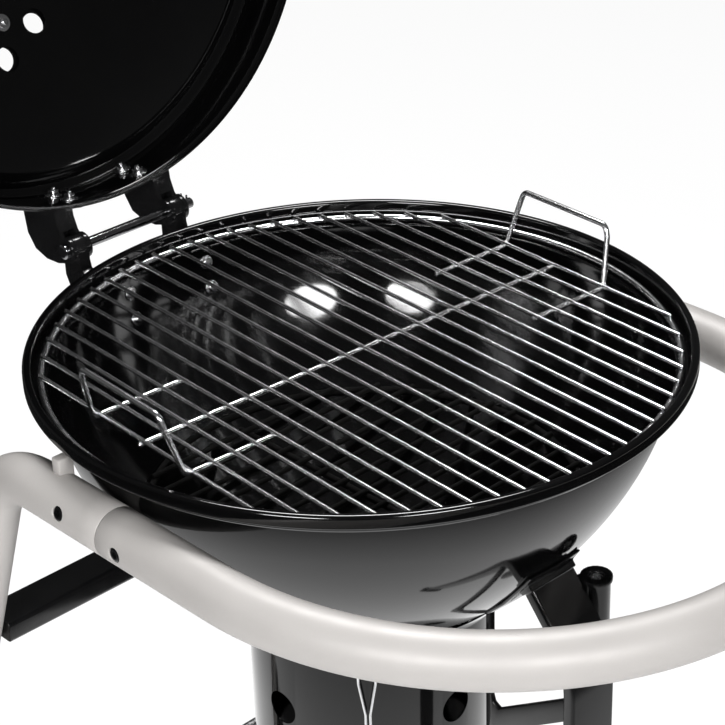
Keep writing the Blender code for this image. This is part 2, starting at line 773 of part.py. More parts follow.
def latch_lug(turn):
    lug = block((BUCKET_R - 0.0009, -0.0028, LATCH_PIVOT_Z - 0.0035),
                (LATCH_PIVOT_R + 0.0035, 0.0028, LATCH_PIVOT_Z + 0.0035))
    hole = rod((LATCH_PIVOT_R, -0.01, LATCH_PIVOT_Z), (LATCH_PIVOT_R, 0.01, LATCH_PIVOT_Z),
               0.0019, 8)
    lug = cut(lug, hole)
    lug.matrix_world = latch_frame(turn) @ lug.matrix_world
    return lug


def latch_wire(turn):
    """A sprung wire bail that turns in the lug and hooks against the funnel."""
    r = LATCH_PIVOT_R
    half = [(r, -0.0046, LATCH_PIVOT_Z), (r + 0.0006, -0.0040, LATCH_PIVOT_Z + 0.008),
            (r - 0.0002, -0.0022, LATCH_PIVOT_Z + 0.018), (r - 0.0004, -0.0020, -0.303),
            (r - 0.0004, -0.0074, -0.270), (r + 0.0004, -0.0080, -0.245),
            (0.1212, -0.0072, -0.2380), (0.1240, -0.0050, -0.2352)]
    points = half + [(x, -y, z) for x, y, z in reversed(half)]
    loop = wire(points, 0.0013, sides=1, cyclic=True)
    loop.matrix_world = latch_frame(turn)
    return loop


# Tube trolley

def loop_points():
    """The centre line of the front loop: two straight sides and a half ellipse."""
    points = [(-LOOP_X, SEAM_Y, LOOP_Z), (-LOOP_X, (SEAM_Y + LOOP_BEND_Y) / 2, LOOP_Z)]
    steps = 26
    for i in range(steps + 1):
        a = math.pi * i / steps
        points.append((-LOOP_X * math.cos(a), LOOP_BEND_Y - LOOP_REACH * math.sin(a), LOOP_Z))
    return points + [(LOOP_X, (SEAM_Y + LOOP_BEND_Y) / 2, LOOP_Z), (LOOP_X, SEAM_Y, LOOP_Z)]


def rear_points():
    """The centre line of the right rear leg: back along the bowl, then down to the wheel."""
    turn = math.pi / 2 - REAR_SPLAY
    tangent = REAR_BEND_R * math.tan(turn / 2)
    start = REAR_BEND_Y - tangent
    points = [(LOOP_X, SEAM_Y + 0.0006, LOOP_Z), (LOOP_X, 0.05, LOOP_Z)]
    steps = 8
    for i in range(steps + 1):
        a = turn * i / steps
        points.append((LOOP_X, start + REAR_BEND_R * math.sin(a),
                       LOOP_Z - REAR_BEND_R * (1.0 - math.cos(a))))
    low = AXLE_Z - 0.024
    points.append((LOOP_X, REAR_BEND_Y + (LOOP_Z - low) * math.tan(REAR_SPLAY), low))
    return points


def to_world(points):
    return [at(x, y, z) for x, y, z in points]


def raised(obj):
    """Turns a helper up about the right tube's centre line, to where the rear screw sits."""
    pivot = Matrix.Translation(at(LOOP_X, 0, LOOP_Z))
    obj.matrix_world = pivot @ Matrix.Rotation(-SCREW_RISE, 4, "Y") @ pivot.inverted() @ obj.matrix_world
    return obj


def build_trolley():
    loop = wire(to_world(loop_points()), TUBE_R, sides=3, hollow=WALL)
    for side in (-1, 1):
        x = side * (LOOP_X + TUBE_R)
        loop = cut(loop, rod(at(x - side * 0.010, SCREW_Y[1], LOOP_Z),
                             at(x + side * 0.010, SCREW_Y[1], LOOP_Z), 0.0062, 16))
    finish(loop, "handle_loop", SATIN_PAINT)

    leg = wire(to_world(rear_points()), TUBE_R, sides=3, hollow=WALL)
    x = LOOP_X + TUBE_R
    leg = cut(leg, raised(rod(at(x - 0.010, SCREW_Y[0], LOOP_Z), at(x + 0.010, SCREW_Y[0], LOOP_Z),
                              0.0062, 16)),
              rod(at(LOOP_X - 0.04, AXLE_Y, AXLE_Z), at(LOOP_X + 0.04, AXLE_Y, AXLE_Z),
                  AXLE_R + GAP, 16))
    pair(leg, "rear_leg", SATIN_PAINT)

    inner = TUBE_R - WALL - 0.0007
    sleeve = wire([at(LOOP_X, SLEEVE_Y[0], LOOP_Z), at(LOOP_X, SLEEVE_Y[1], LOOP_Z)], inner,
                  sides=3, hollow=WALL)
    for y, turn in zip(SCREW_Y, (raised, lambda obj: obj)):
        sleeve = cut(sleeve, turn(rod(at(x - 0.012, y, LOOP_Z), at(x + 0.01, y, LOOP_Z),
                                      0.0033, 12)))
    pair(sleeve, "loop_joint_sleeve", RAW_STEEL)

    for y, place, turn in zip(SCREW_Y, ("rear", "front"), (raised, lambda obj: obj)):
        head = rod(at(x - WALL - 0.0003, y, LOOP_Z), at(x - 0.0004, y, LOOP_Z), 0.0058, 16)
        shank = rod(at(x - 0.010, y, LOOP_Z), at(x - 0.001, y, LOOP_Z), 0.0030, 12)
        socket = rod(at(x - 0.0030, y, LOOP_Z), at(x + 0.002, y, LOOP_Z), 0.0033, 6)
        screw = cut(join(head, shank), socket)
        pair(turn(screw), "loop_screw_" + place, BLACK_PAINT)

    support = block(at(0.2690, 0.049, -0.040), at(0.2835, 0.059, LEDGE_Z - 0.0028), 0.0012)
    support = cut(support, rod(at(LOOP_X, -0.1, LOOP_Z), at(LOOP_X, 0.1, LOOP_Z),
                               TUBE_R + GAP, 48))
    pair(support, "bowl_support", SATIN_PAINT)

    half = LOOP_X - TUBE_R - 0.0004
    y = REAR_BEND_Y + (LOOP_Z - BAR_Z) * math.tan(REAR_SPLAY)
    bar = block(at(-half, y - BAR_DEEP / 2, BAR_Z - BAR_TALL / 2),
                at(half, y + BAR_DEEP / 2, BAR_Z + BAR_TALL / 2))
    soften(bar, 0.003, "X")
    finish(bar, "rear_crossbar", BLACK_PAINT)


def soften(obj, width, axis):
    """Rounds the edges of a box that run along one axis."""
    keep = "XYZ".index(axis)
    bm = bmesh.new()
    bm.from_mesh(obj.data)
    edges = [e for e in bm.edges
             if abs((e.verts[0].co - e.verts[1].co)[keep]) > 0.9 * (e.verts[0].co - e.verts[1].co).length]
    bmesh.ops.bevel(bm, geom=edges, offset=width, segments=3, profile=0.5, affect="EDGES")
    bm.to_mesh(obj.data)
    bm.free()
    return obj


# Front leg

def leg_line():
    """(y, z) points of the front leg's centre line, from its top to the floor."""
    y, z = LEG_TOP
    end_y = LEG_Y + LEG_BEND_R * (1.0 - math.cos(LEG_LEAN))
    run = (y - end_y) / math.sin(LEG_LEAN)
    points = [(y, z), (end_y, z - run * math.cos(LEG_LEAN))]
    centre_z = points[1][1] - LEG_BEND_R * math.sin(LEG_LEAN)
    steps = 6
    for i in range(1, steps + 1):
        a = LEG_LEAN * (1.0 - i / steps)
        points.append((LEG_Y + LEG_BEND_R * (1.0 - math.cos(a)),
                       centre_z + LEG_BEND_R * math.sin(a)))
    return points + [(LEG_Y, 0.0105 - GRATE_Z)]


def strip(line, thickness, width):
    """A flat bar of a given width across X that follows (y, z) points."""
    front = []
    back = []
    for i, (y, z) in enumerate(line):
        before = line[max(0, i - 1)]
        after = line[min(len(line) - 1, i + 1)]
        run = Vector((after[0] - before[0], after[1] - before[1])).normalized()
        side = Vector((-run.y, run.x)) * thickness / 2
        front.append((y - side.x, GRATE_Z + z - side.y))
        back.append((y + side.x, GRATE_Z + z + side.y))
    return plate(front + back[::-1], -width / 2, width / 2)


def build_front_leg():
    line = leg_line()
    finish(strip(line, LEG_T, LEG_W), "front_leg", BLACK_PAINT)

    lean = Vector((0.0, math.sin(LEG_LEAN), math.cos(LEG_LEAN)))
    top = at(0, *LEG_TOP)
    cap = block((-LEG_W / 2 - 0.001, -LEG_T / 2 - 0.0015, 0.0004),
                (LEG_W / 2 + 0.001, LEG_T / 2 + 0.0015, 0.034))
    cap.matrix_world = Matrix.Translation(top) @ Matrix.Rotation(-LEG_LEAN, 4, "X") @ cap.matrix_world
    saddle = common(block(at(-0.031, -0.240, -0.176), at(0.031, -0.160, -0.120)),
                    bowl_solid(GAP + 0.0030))
    bracket = cut(join(realised(cap), saddle), bowl_solid(GAP))
    finish(bracket, "front_leg_bracket", BLACK_PAINT)

    x, y = POST_AT
    post = join(rod(at(x, y, POST_LOW), at(x, y, POST_TOP - 0.001), POST_R, 20),
                rod(at(x, y, POST_TOP - 0.004), at(x, y, POST_TOP), POST_R + 0.0017, 20))
    web = block(at(LEG_W / 2 + GAP, y - 0.002, POST_TOP - 0.032),
                at(x - POST_R + 0.004, y + 0.012, POST_TOP - 0.0004))
    post = cut(join(post, web), rod(at(x, y, POST_TOP - 0.012), at(x, y, POST_TOP + 0.01), 0.0072, 20))
    finish(post, "leg_side_post", BLACK_PAINT)
    screw = cut(rod(at(x, y, POST_TOP - 0.0115), at(x, y, POST_TOP - 0.003), 0.0068, 20),
                rod(at(x, y, POST_TOP - 0.008), at(x, y, POST_TOP), 0.0040, 6))
    finish(screw, "post_screw", ZINC)

    low = GRATE_Z
    rear = LEG_Y + LEG_T / 2 + GAP
    outline = [(-0.1475, low - 0.170), (-0.1475, low - 0.326), (-0.1545, low - 0.326),
               (rear, low - 0.2580), (rear, low - 0.2350), (-0.1620, low - 0.2965),
               (-0.1560, low - 0.2930), (-0.1540, low - 0.2870), (-0.1540, low - 0.170)]
    brace = cut(plate(outline, -0.0025, 0.0025), bowl_solid(GAP))
    finish(brace, "leg_brace", BLACK_PAINT)

    foot = block((-0.033, LEG_Y - 0.014, 0.0), (0.033, LEG_Y + 0.014, 0.034))
    soften(foot, 0.005, "Z")
    pocket = block((-LEG_W / 2 - GAP, LEG_Y - LEG_T / 2 - GAP, 0.0100),
                   (LEG_W / 2 + GAP, LEG_Y + LEG_T / 2 + GAP, 0.05))
    finish(cut(foot, pocket), "front_foot", BLACK_PLASTIC)


# Wheels

def wheel_matrix(side):
    """A wheel is turned about +Z, then laid on the axle with its outside pointing out."""
    return Matrix.Translation(at(side * WHEEL_X, AXLE_Y, AXLE_Z)) @ Matrix.Rotation(side * math.pi / 2, 4, "Y")


def build_wheels():
    end = WHEEL_X + TYRE_W / 2 + 0.003
    axle = rod(at(-end, AXLE_Y, AXLE_Z), at(end, AXLE_Y, AXLE_Z), AXLE_R, 20)
    finish(axle, "axle", ZINC)
    half = TYRE_W / 2
    tyre = [(0.084, half - 0.003), (0.092, half - 0.001), (0.0975, half - 0.006),
            (WHEEL_R, half - 0.012), (WHEEL_R, 0.012 - half), (0.0975, 0.006 - half),
            (0.092, 0.001 - half), (0.084, 0.003 - half)]
    rim = [(0.0836, half - 0.004), (0.0836, 0.004 - half), (0.076, 0.004 - half),
           (0.076, -0.004), (0.022, -0.004), (0.020, -half), (AXLE_R + GAP, -half),
           (AXLE_R + GAP, half), (0.020, half), (0.022, 0.004), (0.076, 0.004),
           (0.076, half - 0.004)]
    cap = [(0.0, 0.012), (0.010, 0.0115), (0.0165, 0.008), (0.018, 0.003), (0.018, 0.0),
           (AXLE_R + 0.001, 0.0), (AXLE_R + 0.001, 0.005), (0.0, 0.005)]
    for side, name in ((-1, "left"), (1, "right")):
        place = wheel_matrix(side)
        for piece, profile, steps, material in (("tyre", tyre, 32, TYRE_RUBBER),
                                                ("wheel", rim, 24, BLACK_PLASTIC)):
            made = ring_of(profile, steps)
            made.matrix_world = place
            finish(made, f"{piece}_{name}", material)
        hub = turned(cap, 16)
        hub.matrix_world = place @ Matrix.Translation((0, 0, half + 0.0005))
        finish(hub, "hub_cap_" + name, BLACK_PLASTIC)


# Joint axes

def hang(name, place, turn, names):
    """Parents the pieces of one moving body to an empty on its joint."""
    pivot = bpy.data.objects.new(name, None)
    pivot.empty_display_size = 0.03
    PARTS.objects.link(pivot)
    pivot.matrix_world = Matrix.Translation(place) @ turn
    bpy.context.view_layer.update()
    for part_name in names:
        piece = bpy.data.objects[part_name]
        stay = piece.matrix_world.copy()
        piece.parent = pivot
        piece.matrix_parent_inverse = pivot.matrix_world.inverted()
        piece.matrix_world = stay
    return pivot


def build_joints():
    still = Matrix.Identity(4)
    sides = ("left", "right")
    lid = ["lid", "lid_damper_bolt", "lid_handle_grip"]
    lid += [f"lid_handle_stand_{side}" for side in sides]
    lid += [f"lid_hinge_arm_{side}" for side in sides]
    lid += [f"lid_hinge_bolt_{side}_{level}" for side in sides for level in ("lower", "upper")]
    lid_pivot = hang("lid_hinge_axis", at(0, HINGE_Y, HINGE_Z),
                     Matrix.Rotation(-LID_OPEN, 4, "X"), lid)
    point, normal = lid_vent()
    turned_vent = lid_frame() @ along(normal, point)
    damper_pivot = hang("lid_damper_axis", turned_vent.translation,
                        turned_vent.to_3x3().to_4x4(), ["lid_damper"])
    damper_pivot.parent = lid_pivot
    damper_pivot.matrix_parent_inverse = lid_pivot.matrix_world.inverted()
    hang("cooking_grate_lift", at(0, 0, 0), Matrix.Rotation(GRATE_TURN, 4, "Z"),
         ["cooking_grate"])
    hang("charcoal_grate_lift", at(0, 0, COAL_Z), still, ["charcoal_grate"])
    hang("ash_sweeper_axis", at(0, 0, LEVER_Z), still, ["ash_sweeper", "sweeper_lever"])
    for turn, place in ((0.0, "front"), (math.pi, "rear")):
        frame = Matrix.Translation(at(0, 0, 0)) @ Matrix.Rotation(LATCH_AZ + turn, 4, "Z")
        hang(f"bucket_latch_{place}_axis",
             frame @ Vector((LATCH_PIVOT_R, 0.0, LATCH_PIVOT_Z)),
             Matrix.Rotation(LATCH_AZ + turn, 4, "Z"), [f"bucket_latch_{place}"])
    for side, name in ((-1, "left"), (1, "right")):
        hang(f"wheel_{name}_axis", at(side * WHEEL_X, AXLE_Y, AXLE_Z), still,
             [f"tyre_{name}", f"wheel_{name}"])


def move_to_middle():
    """Puts the origin under the middle of the outline. Children follow their empties."""
    for obj in PARTS.objects:
        if obj.parent is None:
            obj.matrix_world = Matrix.Translation((0.0, -MIDDLE_Y, 0.0)) @ obj.matrix_world


build_bowl()
build_lid()
build_lid_vent()
build_handle()
build_hinge()
build_hinge_bolts()
build_cooking_grate()
build_charcoal_grate()
build_ash_parts()
build_trolley()
build_front_leg()
build_wheels()
build_joints()
move_to_middle()
for left_over in list(CUTTERS.objects):
    bpy.data.objects.remove(left_over, do_unlink=True)
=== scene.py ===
"""The looks of the kettle grill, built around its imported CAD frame. Everything is in metres."""

import json
import math

import bmesh
import bpy
from mathutils import Matrix, Vector

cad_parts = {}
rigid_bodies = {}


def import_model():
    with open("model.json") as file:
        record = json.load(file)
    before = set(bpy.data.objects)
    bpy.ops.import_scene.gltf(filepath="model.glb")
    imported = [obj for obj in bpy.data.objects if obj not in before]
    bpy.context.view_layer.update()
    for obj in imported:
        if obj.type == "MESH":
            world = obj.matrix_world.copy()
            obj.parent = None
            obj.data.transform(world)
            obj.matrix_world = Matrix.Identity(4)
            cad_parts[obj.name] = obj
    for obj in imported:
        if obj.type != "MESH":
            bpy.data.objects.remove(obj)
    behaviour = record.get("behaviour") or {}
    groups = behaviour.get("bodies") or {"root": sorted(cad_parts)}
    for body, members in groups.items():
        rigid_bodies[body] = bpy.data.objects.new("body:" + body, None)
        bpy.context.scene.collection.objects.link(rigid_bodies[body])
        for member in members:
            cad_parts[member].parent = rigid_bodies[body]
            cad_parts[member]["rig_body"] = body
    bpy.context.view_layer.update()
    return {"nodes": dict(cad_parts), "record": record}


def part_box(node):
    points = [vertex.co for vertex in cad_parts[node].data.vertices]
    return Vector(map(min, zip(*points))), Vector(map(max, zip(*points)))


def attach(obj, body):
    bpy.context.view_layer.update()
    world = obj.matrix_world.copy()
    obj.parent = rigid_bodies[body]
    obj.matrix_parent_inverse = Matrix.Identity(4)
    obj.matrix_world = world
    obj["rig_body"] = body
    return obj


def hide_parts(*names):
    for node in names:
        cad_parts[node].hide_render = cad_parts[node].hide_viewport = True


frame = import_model()
SLOT_OF = {row["node"]: row["material_slot"] for row in frame["record"]["subparts"]}

# Sizes of the pressed parts, measured from the middle of the cooking bars
SHEET = 0.0012
GAP = 0.0003
PRESS = 1.65
LIP_R = 0.2854
LIP_TOP = 0.0093
LIP_DROP = 0.0118
SEAT_R = 0.2780
LEDGE_Z = -0.0085
BOWL_R = 0.2670
BOWL_TOP = -0.004
BOWL_DEEP = 0.2620
BOWL_FLOOR = 0.2430
RIM_Z = LIP_TOP + 0.0005
RIM_R = 0.290
SKIRT_R = 0.2865
SKIRT_H = 0.0590
DOME_R = 0.2775
DOME_Z = 0.0625
LID_H = 0.158
LID_OPEN = math.radians(99.5)
LID_BOLT_H = (0.0192, 0.0455)
LID_BOLT_X = 0.0415
BOWL_BOLT_Z = (-0.023, -0.047)
BOWL_BOLT_X = 0.0455
TUBE_R = 0.022
WALL = 0.0015
TURNS = 176                # steps of a large turned piece


def middle_of(node):
    low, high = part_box(node)
    return (low + high) / 2


BOWL_LOW, BOWL_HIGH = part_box("bowl")
AXIS = Vector((0.0, (BOWL_LOW.y + BOWL_HIGH.y) / 2, BOWL_HIGH.z - LIP_TOP))
PIVOT = middle_of("hinge_rod")
PIVOT.x = 0.0


def at(x, y, z):
    """A point given from the middle of the cooking bars."""
    return AXIS + Vector((x, y, z))


LID = Matrix.Translation(PIVOT) @ Matrix.Rotation(-LID_OPEN, 4, "X") @ Matrix.Translation(-PIVOT)


# Materials

class Nodes:
    """A small helper to wire up one procedural material."""

    def __init__(self, name):
        self.material = bpy.data.materials.new(name)
        self.material.use_nodes = True
        self.tree = self.material.node_tree
        self.shader = self.tree.nodes["Principled BSDF"]
        self.place = self.add("ShaderNodeTexCoord").outputs["Object"]

    def add(self, kind, **settings):
        node = self.tree.nodes.new(kind)
        for key, value in settings.items():
            setattr(node, key, value)
        return node

    def link(self, a, b):
        self.tree.links.new(a, b)

    def noise(self, scale, detail=2.0, rough=0.5, stretch=None):
        node = self.add("ShaderNodeTexNoise")
        node.inputs["Scale"].default_value = scale
        node.inputs["Detail"].default_value = detail
        node.inputs["Roughness"].default_value = rough
        source = self.place
        if stretch:
            mapping = self.add("ShaderNodeMapping")
            mapping.inputs["Scale"].default_value = stretch
            self.link(source, mapping.inputs["Vector"])
            source = mapping.outputs["Vector"]
        self.link(source, node.inputs["Vector"])
        return node.outputs["Fac"]

    def spread(self, value, low, high, start=0.3, end=0.7):
        node = self.add("ShaderNodeMapRange")
        node.inputs["From Min"].default_value = start
        node.inputs["From Max"].default_value = end
        node.inputs["To Min"].default_value = low
        node.inputs["To Max"].default_value = high
        self.link(value, node.inputs["Value"])
        return node.outputs["Result"]

    def blend(self, value, a, b, start=0.3, end=0.7):
        ramp = self.add("ShaderNodeValToRGB")
        ramp.color_ramp.elements[0].position = start
        ramp.color_ramp.elements[1].position = end
        ramp.color_ramp.elements[0].color = (*a, 1.0)
        ramp.color_ramp.elements[1].color = (*b, 1.0)
        self.link(value, ramp.inputs["Fac"])
        return ramp.outputs["Color"]

    def bump(self, value, strength, distance, under=None):
        node = self.add("ShaderNodeBump")
        node.inputs["Strength"].default_value = strength
        node.inputs["Distance"].default_value = distance
        self.link(value, node.inputs["Height"])
        if under is not None:
            self.link(under, node.inputs["Normal"])
        return node.outputs["Normal"]

    def done(self, **inputs):
        for key, value in inputs.items():
            socket = self.shader.inputs[key.replace("_", " ")]
            if isinstance(value, bpy.types.NodeSocket):
                self.link(value, socket)
            elif isinstance(value, tuple):
                socket.default_value = (*value, 1.0)
            else:
                socket.default_value = value
        return self.material


def enamel():
    n = Nodes("enamel_look")
    wave = n.bump(n.noise(38.0, 2.0), 0.014, 0.002)
    peel = n.bump(n.noise(420.0, 1.5), 0.012, 0.0003, wave)
    cloud = n.noise(9.0, 4.0, 0.6)
    return n.done(Base_Color=n.blend(cloud, (0.0010, 0.0010, 0.0011), (0.0020, 0.0020, 0.0021)),
                  Roughness=n.spread(n.noise(16.0, 5.0, 0.65), 0.055, 0.095), Normal=peel)


def black_paint():
    n = Nodes("black_paint_look")
    grain = n.bump(n.noise(160.0, 1.0), 0.010, 0.0003, n.bump(n.noise(60.0, 1.0), 0.015, 0.0008))
    return n.done(Base_Color=n.blend(n.noise(30.0, 4.0), (0.0040, 0.0040, 0.0042), (0.0070, 0.0070, 0.0073)),
                  Roughness=n.spread(n.noise(45.0, 4.0, 0.6), 0.14, 0.22), Normal=grain)


def satin_paint():
    n = Nodes("satin_silver_look")
    flake = n.noise(2600.0, 1.0)
    skin = n.bump(n.noise(300.0, 2.0), 0.04, 0.0003, n.bump(flake, 0.03, 0.0001))
    tone = n.blend(n.noise(14.0, 4.0), (0.440, 0.420, 0.405), (0.470, 0.450, 0.434))
    mix = n.add("ShaderNodeMixRGB", blend_type="MULTIPLY")
    mix.inputs["Fac"].default_value = 1.0
    n.link(tone, mix.inputs["Color1"])
    n.link(n.blend(flake, (0.94, 0.94, 0.94), (1.0, 1.0, 1.0)), mix.inputs["Color2"])
    return n.done(Base_Color=mix.outputs["Color"], Metallic=0.10,
                  Roughness=n.spread(n.noise(40.0, 4.0, 0.6), 0.44, 0.52), Specular_IOR_Level=0.45, Normal=skin)


def chrome():
    n = Nodes("chrome_look")
    dull = n.noise(70.0, 5.0, 0.7)
    return n.done(Base_Color=n.blend(dull, (0.84, 0.84, 0.85), (0.94, 0.94, 0.95)), Metallic=1.0,
                  Roughness=n.spread(dull, 0.26, 0.16),
                  Normal=n.bump(n.noise(700.0, 2.0), 0.05, 0.0002))


def zinc(name="zinc_look", low=0.50, high=0.70, rough=0.18):
    n = Nodes(name)
    spangle = n.noise(260.0, 3.0, 0.6)
    return n.done(Base_Color=n.blend(spangle, (low, low, low + 0.01), (high, high, high + 0.01)), Metallic=1.0,
                  Roughness=n.spread(n.noise(150.0, 4.0), rough, rough * 1.8),
                  Normal=n.bump(n.noise(900.0, 2.0), 0.06, 0.0001))


def dark_steel():
    n = Nodes("dark_steel_look")
    scale = n.noise(90.0, 6.0, 0.65)
    return n.done(Base_Color=n.blend(scale, (0.0030, 0.0029, 0.0028), (0.0080, 0.0077, 0.0074)),
                  Roughness=n.spread(scale, 0.85, 0.70), Specular_IOR_Level=0.06, Normal=n.bump(scale, 0.12, 0.0004))


def plastic():
    n = Nodes("black_plastic_look")
    grain = n.noise(1500.0, 2.0)
    return n.done(Base_Color=n.blend(n.noise(60.0, 3.0), (0.018, 0.018, 0.018), (0.028, 0.028, 0.028)),
                  Roughness=n.spread(n.noise(80.0, 3.0), 0.42, 0.56), Normal=n.bump(grain, 0.20, 0.0002))


def rubber():
    n = Nodes("rubber_look")
    dust = n.noise(35.0, 6.0, 0.7)
    return n.done(Base_Color=n.blend(dust, (0.020, 0.020, 0.020), (0.042, 0.041, 0.040)),
                  Roughness=n.spread(dust, 0.66, 0.84), Normal=n.bump(n.noise(900.0, 3.0), 0.18, 0.0003))


LOOKS = {"enamel": enamel(), "black_paint": black_paint(), "satin_silver_paint": satin_paint(),
         "chrome_wire": chrome(), "zinc_steel": zinc(), "dark_steel": dark_steel(),
         "black_plastic": plastic(), "tyre_rubber": rubber()}
ROD_STEEL = zinc("rod_steel_look", 0.30, 0.38, 0.12)


# Shape helpers

def new_object(name, bm, matrix=None):
    if matrix is not None:
        bmesh.ops.transform(bm, matrix=matrix, verts=bm.verts[:])
    bmesh.ops.recalc_face_normals(bm, faces=bm.faces[:])
    mesh = bpy.data.meshes.new(name)
    bm.to_mesh(mesh)
    bm.free()
    obj = bpy.data.objects.new(name, mesh)
    bpy.context.scene.collection.objects.link(obj)
    return obj


def merge(objects):
    """One object of several separate closed meshes."""
    bm = bmesh.new()
    for obj in objects:
        mesh = obj.data
        mesh.transform(obj.matrix_world)
        bm.from_mesh(mesh)
        bpy.data.objects.remove(obj)
        bpy.data.meshes.remove(mesh)
    mesh = bpy.data.meshes.new("merged")
    bm.to_mesh(mesh)
    bm.free()
    obj = bpy.data.objects.new("merged", mesh)
    bpy.context.scene.collection.objects.link(obj)
    return obj


def boolean(obj, others, operation):
    other = merge(others)
    modifier = obj.modifiers.new("shape", "BOOLEAN")
    modifier.operation = operation
    modifier.solver = "EXACT"
    modifier.object = other
    bpy.context.view_layer.update()
    mesh = bpy.data.meshes.new_from_object(obj.evaluated_get(bpy.context.evaluated_depsgraph_get()))
    obj.modifiers.clear()
    obj.data = mesh
    bpy.data.objects.remove(other)
    return obj


def cut(obj, *others):
    return boolean(obj, others, "DIFFERENCE")


def join(obj, *others):
    for other in others:
        obj = boolean(obj, [other], "UNION")
    return obj


def rounded(points, steps=4, size=None):
    """The points of a path, with an arc at each corner that has a radius as its last number."""
    size = size or len(points[0])
    path = []
    for i, point in enumerate(points):
        here = Vector(point[:size])
        if len(point) == size:
            path.append(here)
            continue
        before = Vector(points[i - 1][:size]) - here
        after = Vector(points[(i + 1) % len(points)][:size]) - here
        half = before.angle(after) / 2
        if half > 1.56:
            path.append(here)
            continue
        reach = min(point[size] / math.tan(half), 0.48 * before.length, 0.48 * after.length)
        before.normalize()
        after.normalize()
        centre = here + (before + after).normalized() * reach / math.cos(half)
        start = here + before * reach - centre
        end = here + after * reach - centre
        sweep = start.angle(end)
        for k in range(steps + 1):
            share = k / steps
            path.append(centre + (start * math.sin((1 - share) * sweep) + end * math.sin(share * sweep))
                        / math.sin(sweep))
    return path


def sheet(path, thickness):
    """The closed outline of a sheet along a path of (radius, height). It grows to the left."""
    other = []
    for i, here in enumerate(path):
        before = path[max(0, i - 1)]
        after = path[min(len(path) - 1, i + 1)]
        a = (here - before).normalized() if i else (after - here).normalized()
        b = (after - here).normalized() if i < len(path) - 1 else a
        way = (a + b).normalized()
        even = 1.0 / max(0.5, way.dot(a))
        other.append(here + Vector((-way.y, way.x)) * thickness * even)
    for points in (path, other):
        if points[0].x < 1e-5:
            points[0].x = 0.0
        if points[-1].x < 1e-5:
            points[-1].x = 0.0
    other[-1 if path[-1].x == 0.0 else 0].x = 0.0 if 0.0 in (path[0].x, path[-1].x) else other[0].x
    return list(path) + other[::-1]


def lathe(outline, steps=TURNS, matrix=None, name="lathe"):
    """A closed outline of (radius, height) turned about Z. Points on the axis become one vertex."""
    bm = bmesh.new()
    rings = []
    for r, z in outline:
        if abs(r) < 1e-6:
            rings.append([bm.verts.new((0.0, 0.0, z))])
        else:
            rings.append([bm.verts.new((r * math.cos(2 * math.pi * k / steps),
                                        r * math.sin(2 * math.pi * k / steps), z))
                          for k in range(steps)])
    for a, b in zip(rings, rings[1:] + rings[:1]):
        if len(a) == 1 and len(b) == 1:
            continue
        for k in range(steps):
            quad = [a[k % len(a)], a[(k + 1) % len(a)], b[(k + 1) % len(b)], b[k % len(b)]]
            bm.faces.new(list(dict.fromkeys(quad)))
    return new_object(name, bm, matrix)


def stand_on(place, direction):
    turn = Vector((0.0, 0.0, 1.0)).rotation_difference(Vector(direction).normalized())
    return Matrix.Translation(place) @ turn.to_matrix().to_4x4()


def rod(start, end, radius, steps=32, edge=0.0):
    """A round bar from one point to another, its ends rounded by a small radius."""
    start, end = Vector(start), Vector(end)
    length = (end - start).length
    corner = (edge,) if edge else ()
    outline = rounded([(0.0, 0.0), (radius, 0.0, *corner), (radius, length, *corner), (0.0, length)], 3)
    return lathe(outline, steps, stand_on(start, end - start), "rod")


def prism(place, direction, across, height, edge=0.0, turn=0.0):
    """A hexagonal bar such as a nut, with its corners chamfered where an edge is given."""
    bar = rod(place, Vector(place) + Vector(direction).normalized() * height, across / math.sqrt(3), 6)
    if edge:
        ball = rod(Vector(place) - Vector(direction).normalized() * 0.0002,
                   Vector(place) + Vector(direction).normalized() * (height + 0.0002),
                   across / math.sqrt(3) * 0.985, 40, edge)
        bar = boolean(bar, [ball], "INTERSECT")
    return bar


def circle(radius, sides):
    return [(radius * math.cos(2 * math.pi * k / sides), radius * math.sin(2 * math.pi * k / sides))
            for k in range(sides)]


def rectangle(width, height, corner, steps=5):
    w, h = width / 2, height / 2
    return [tuple(p) for p in rounded([(w, h, corner), (-w, h, corner), (-w, -h, corner), (w, -h, corner)],
                                      steps, 2)]


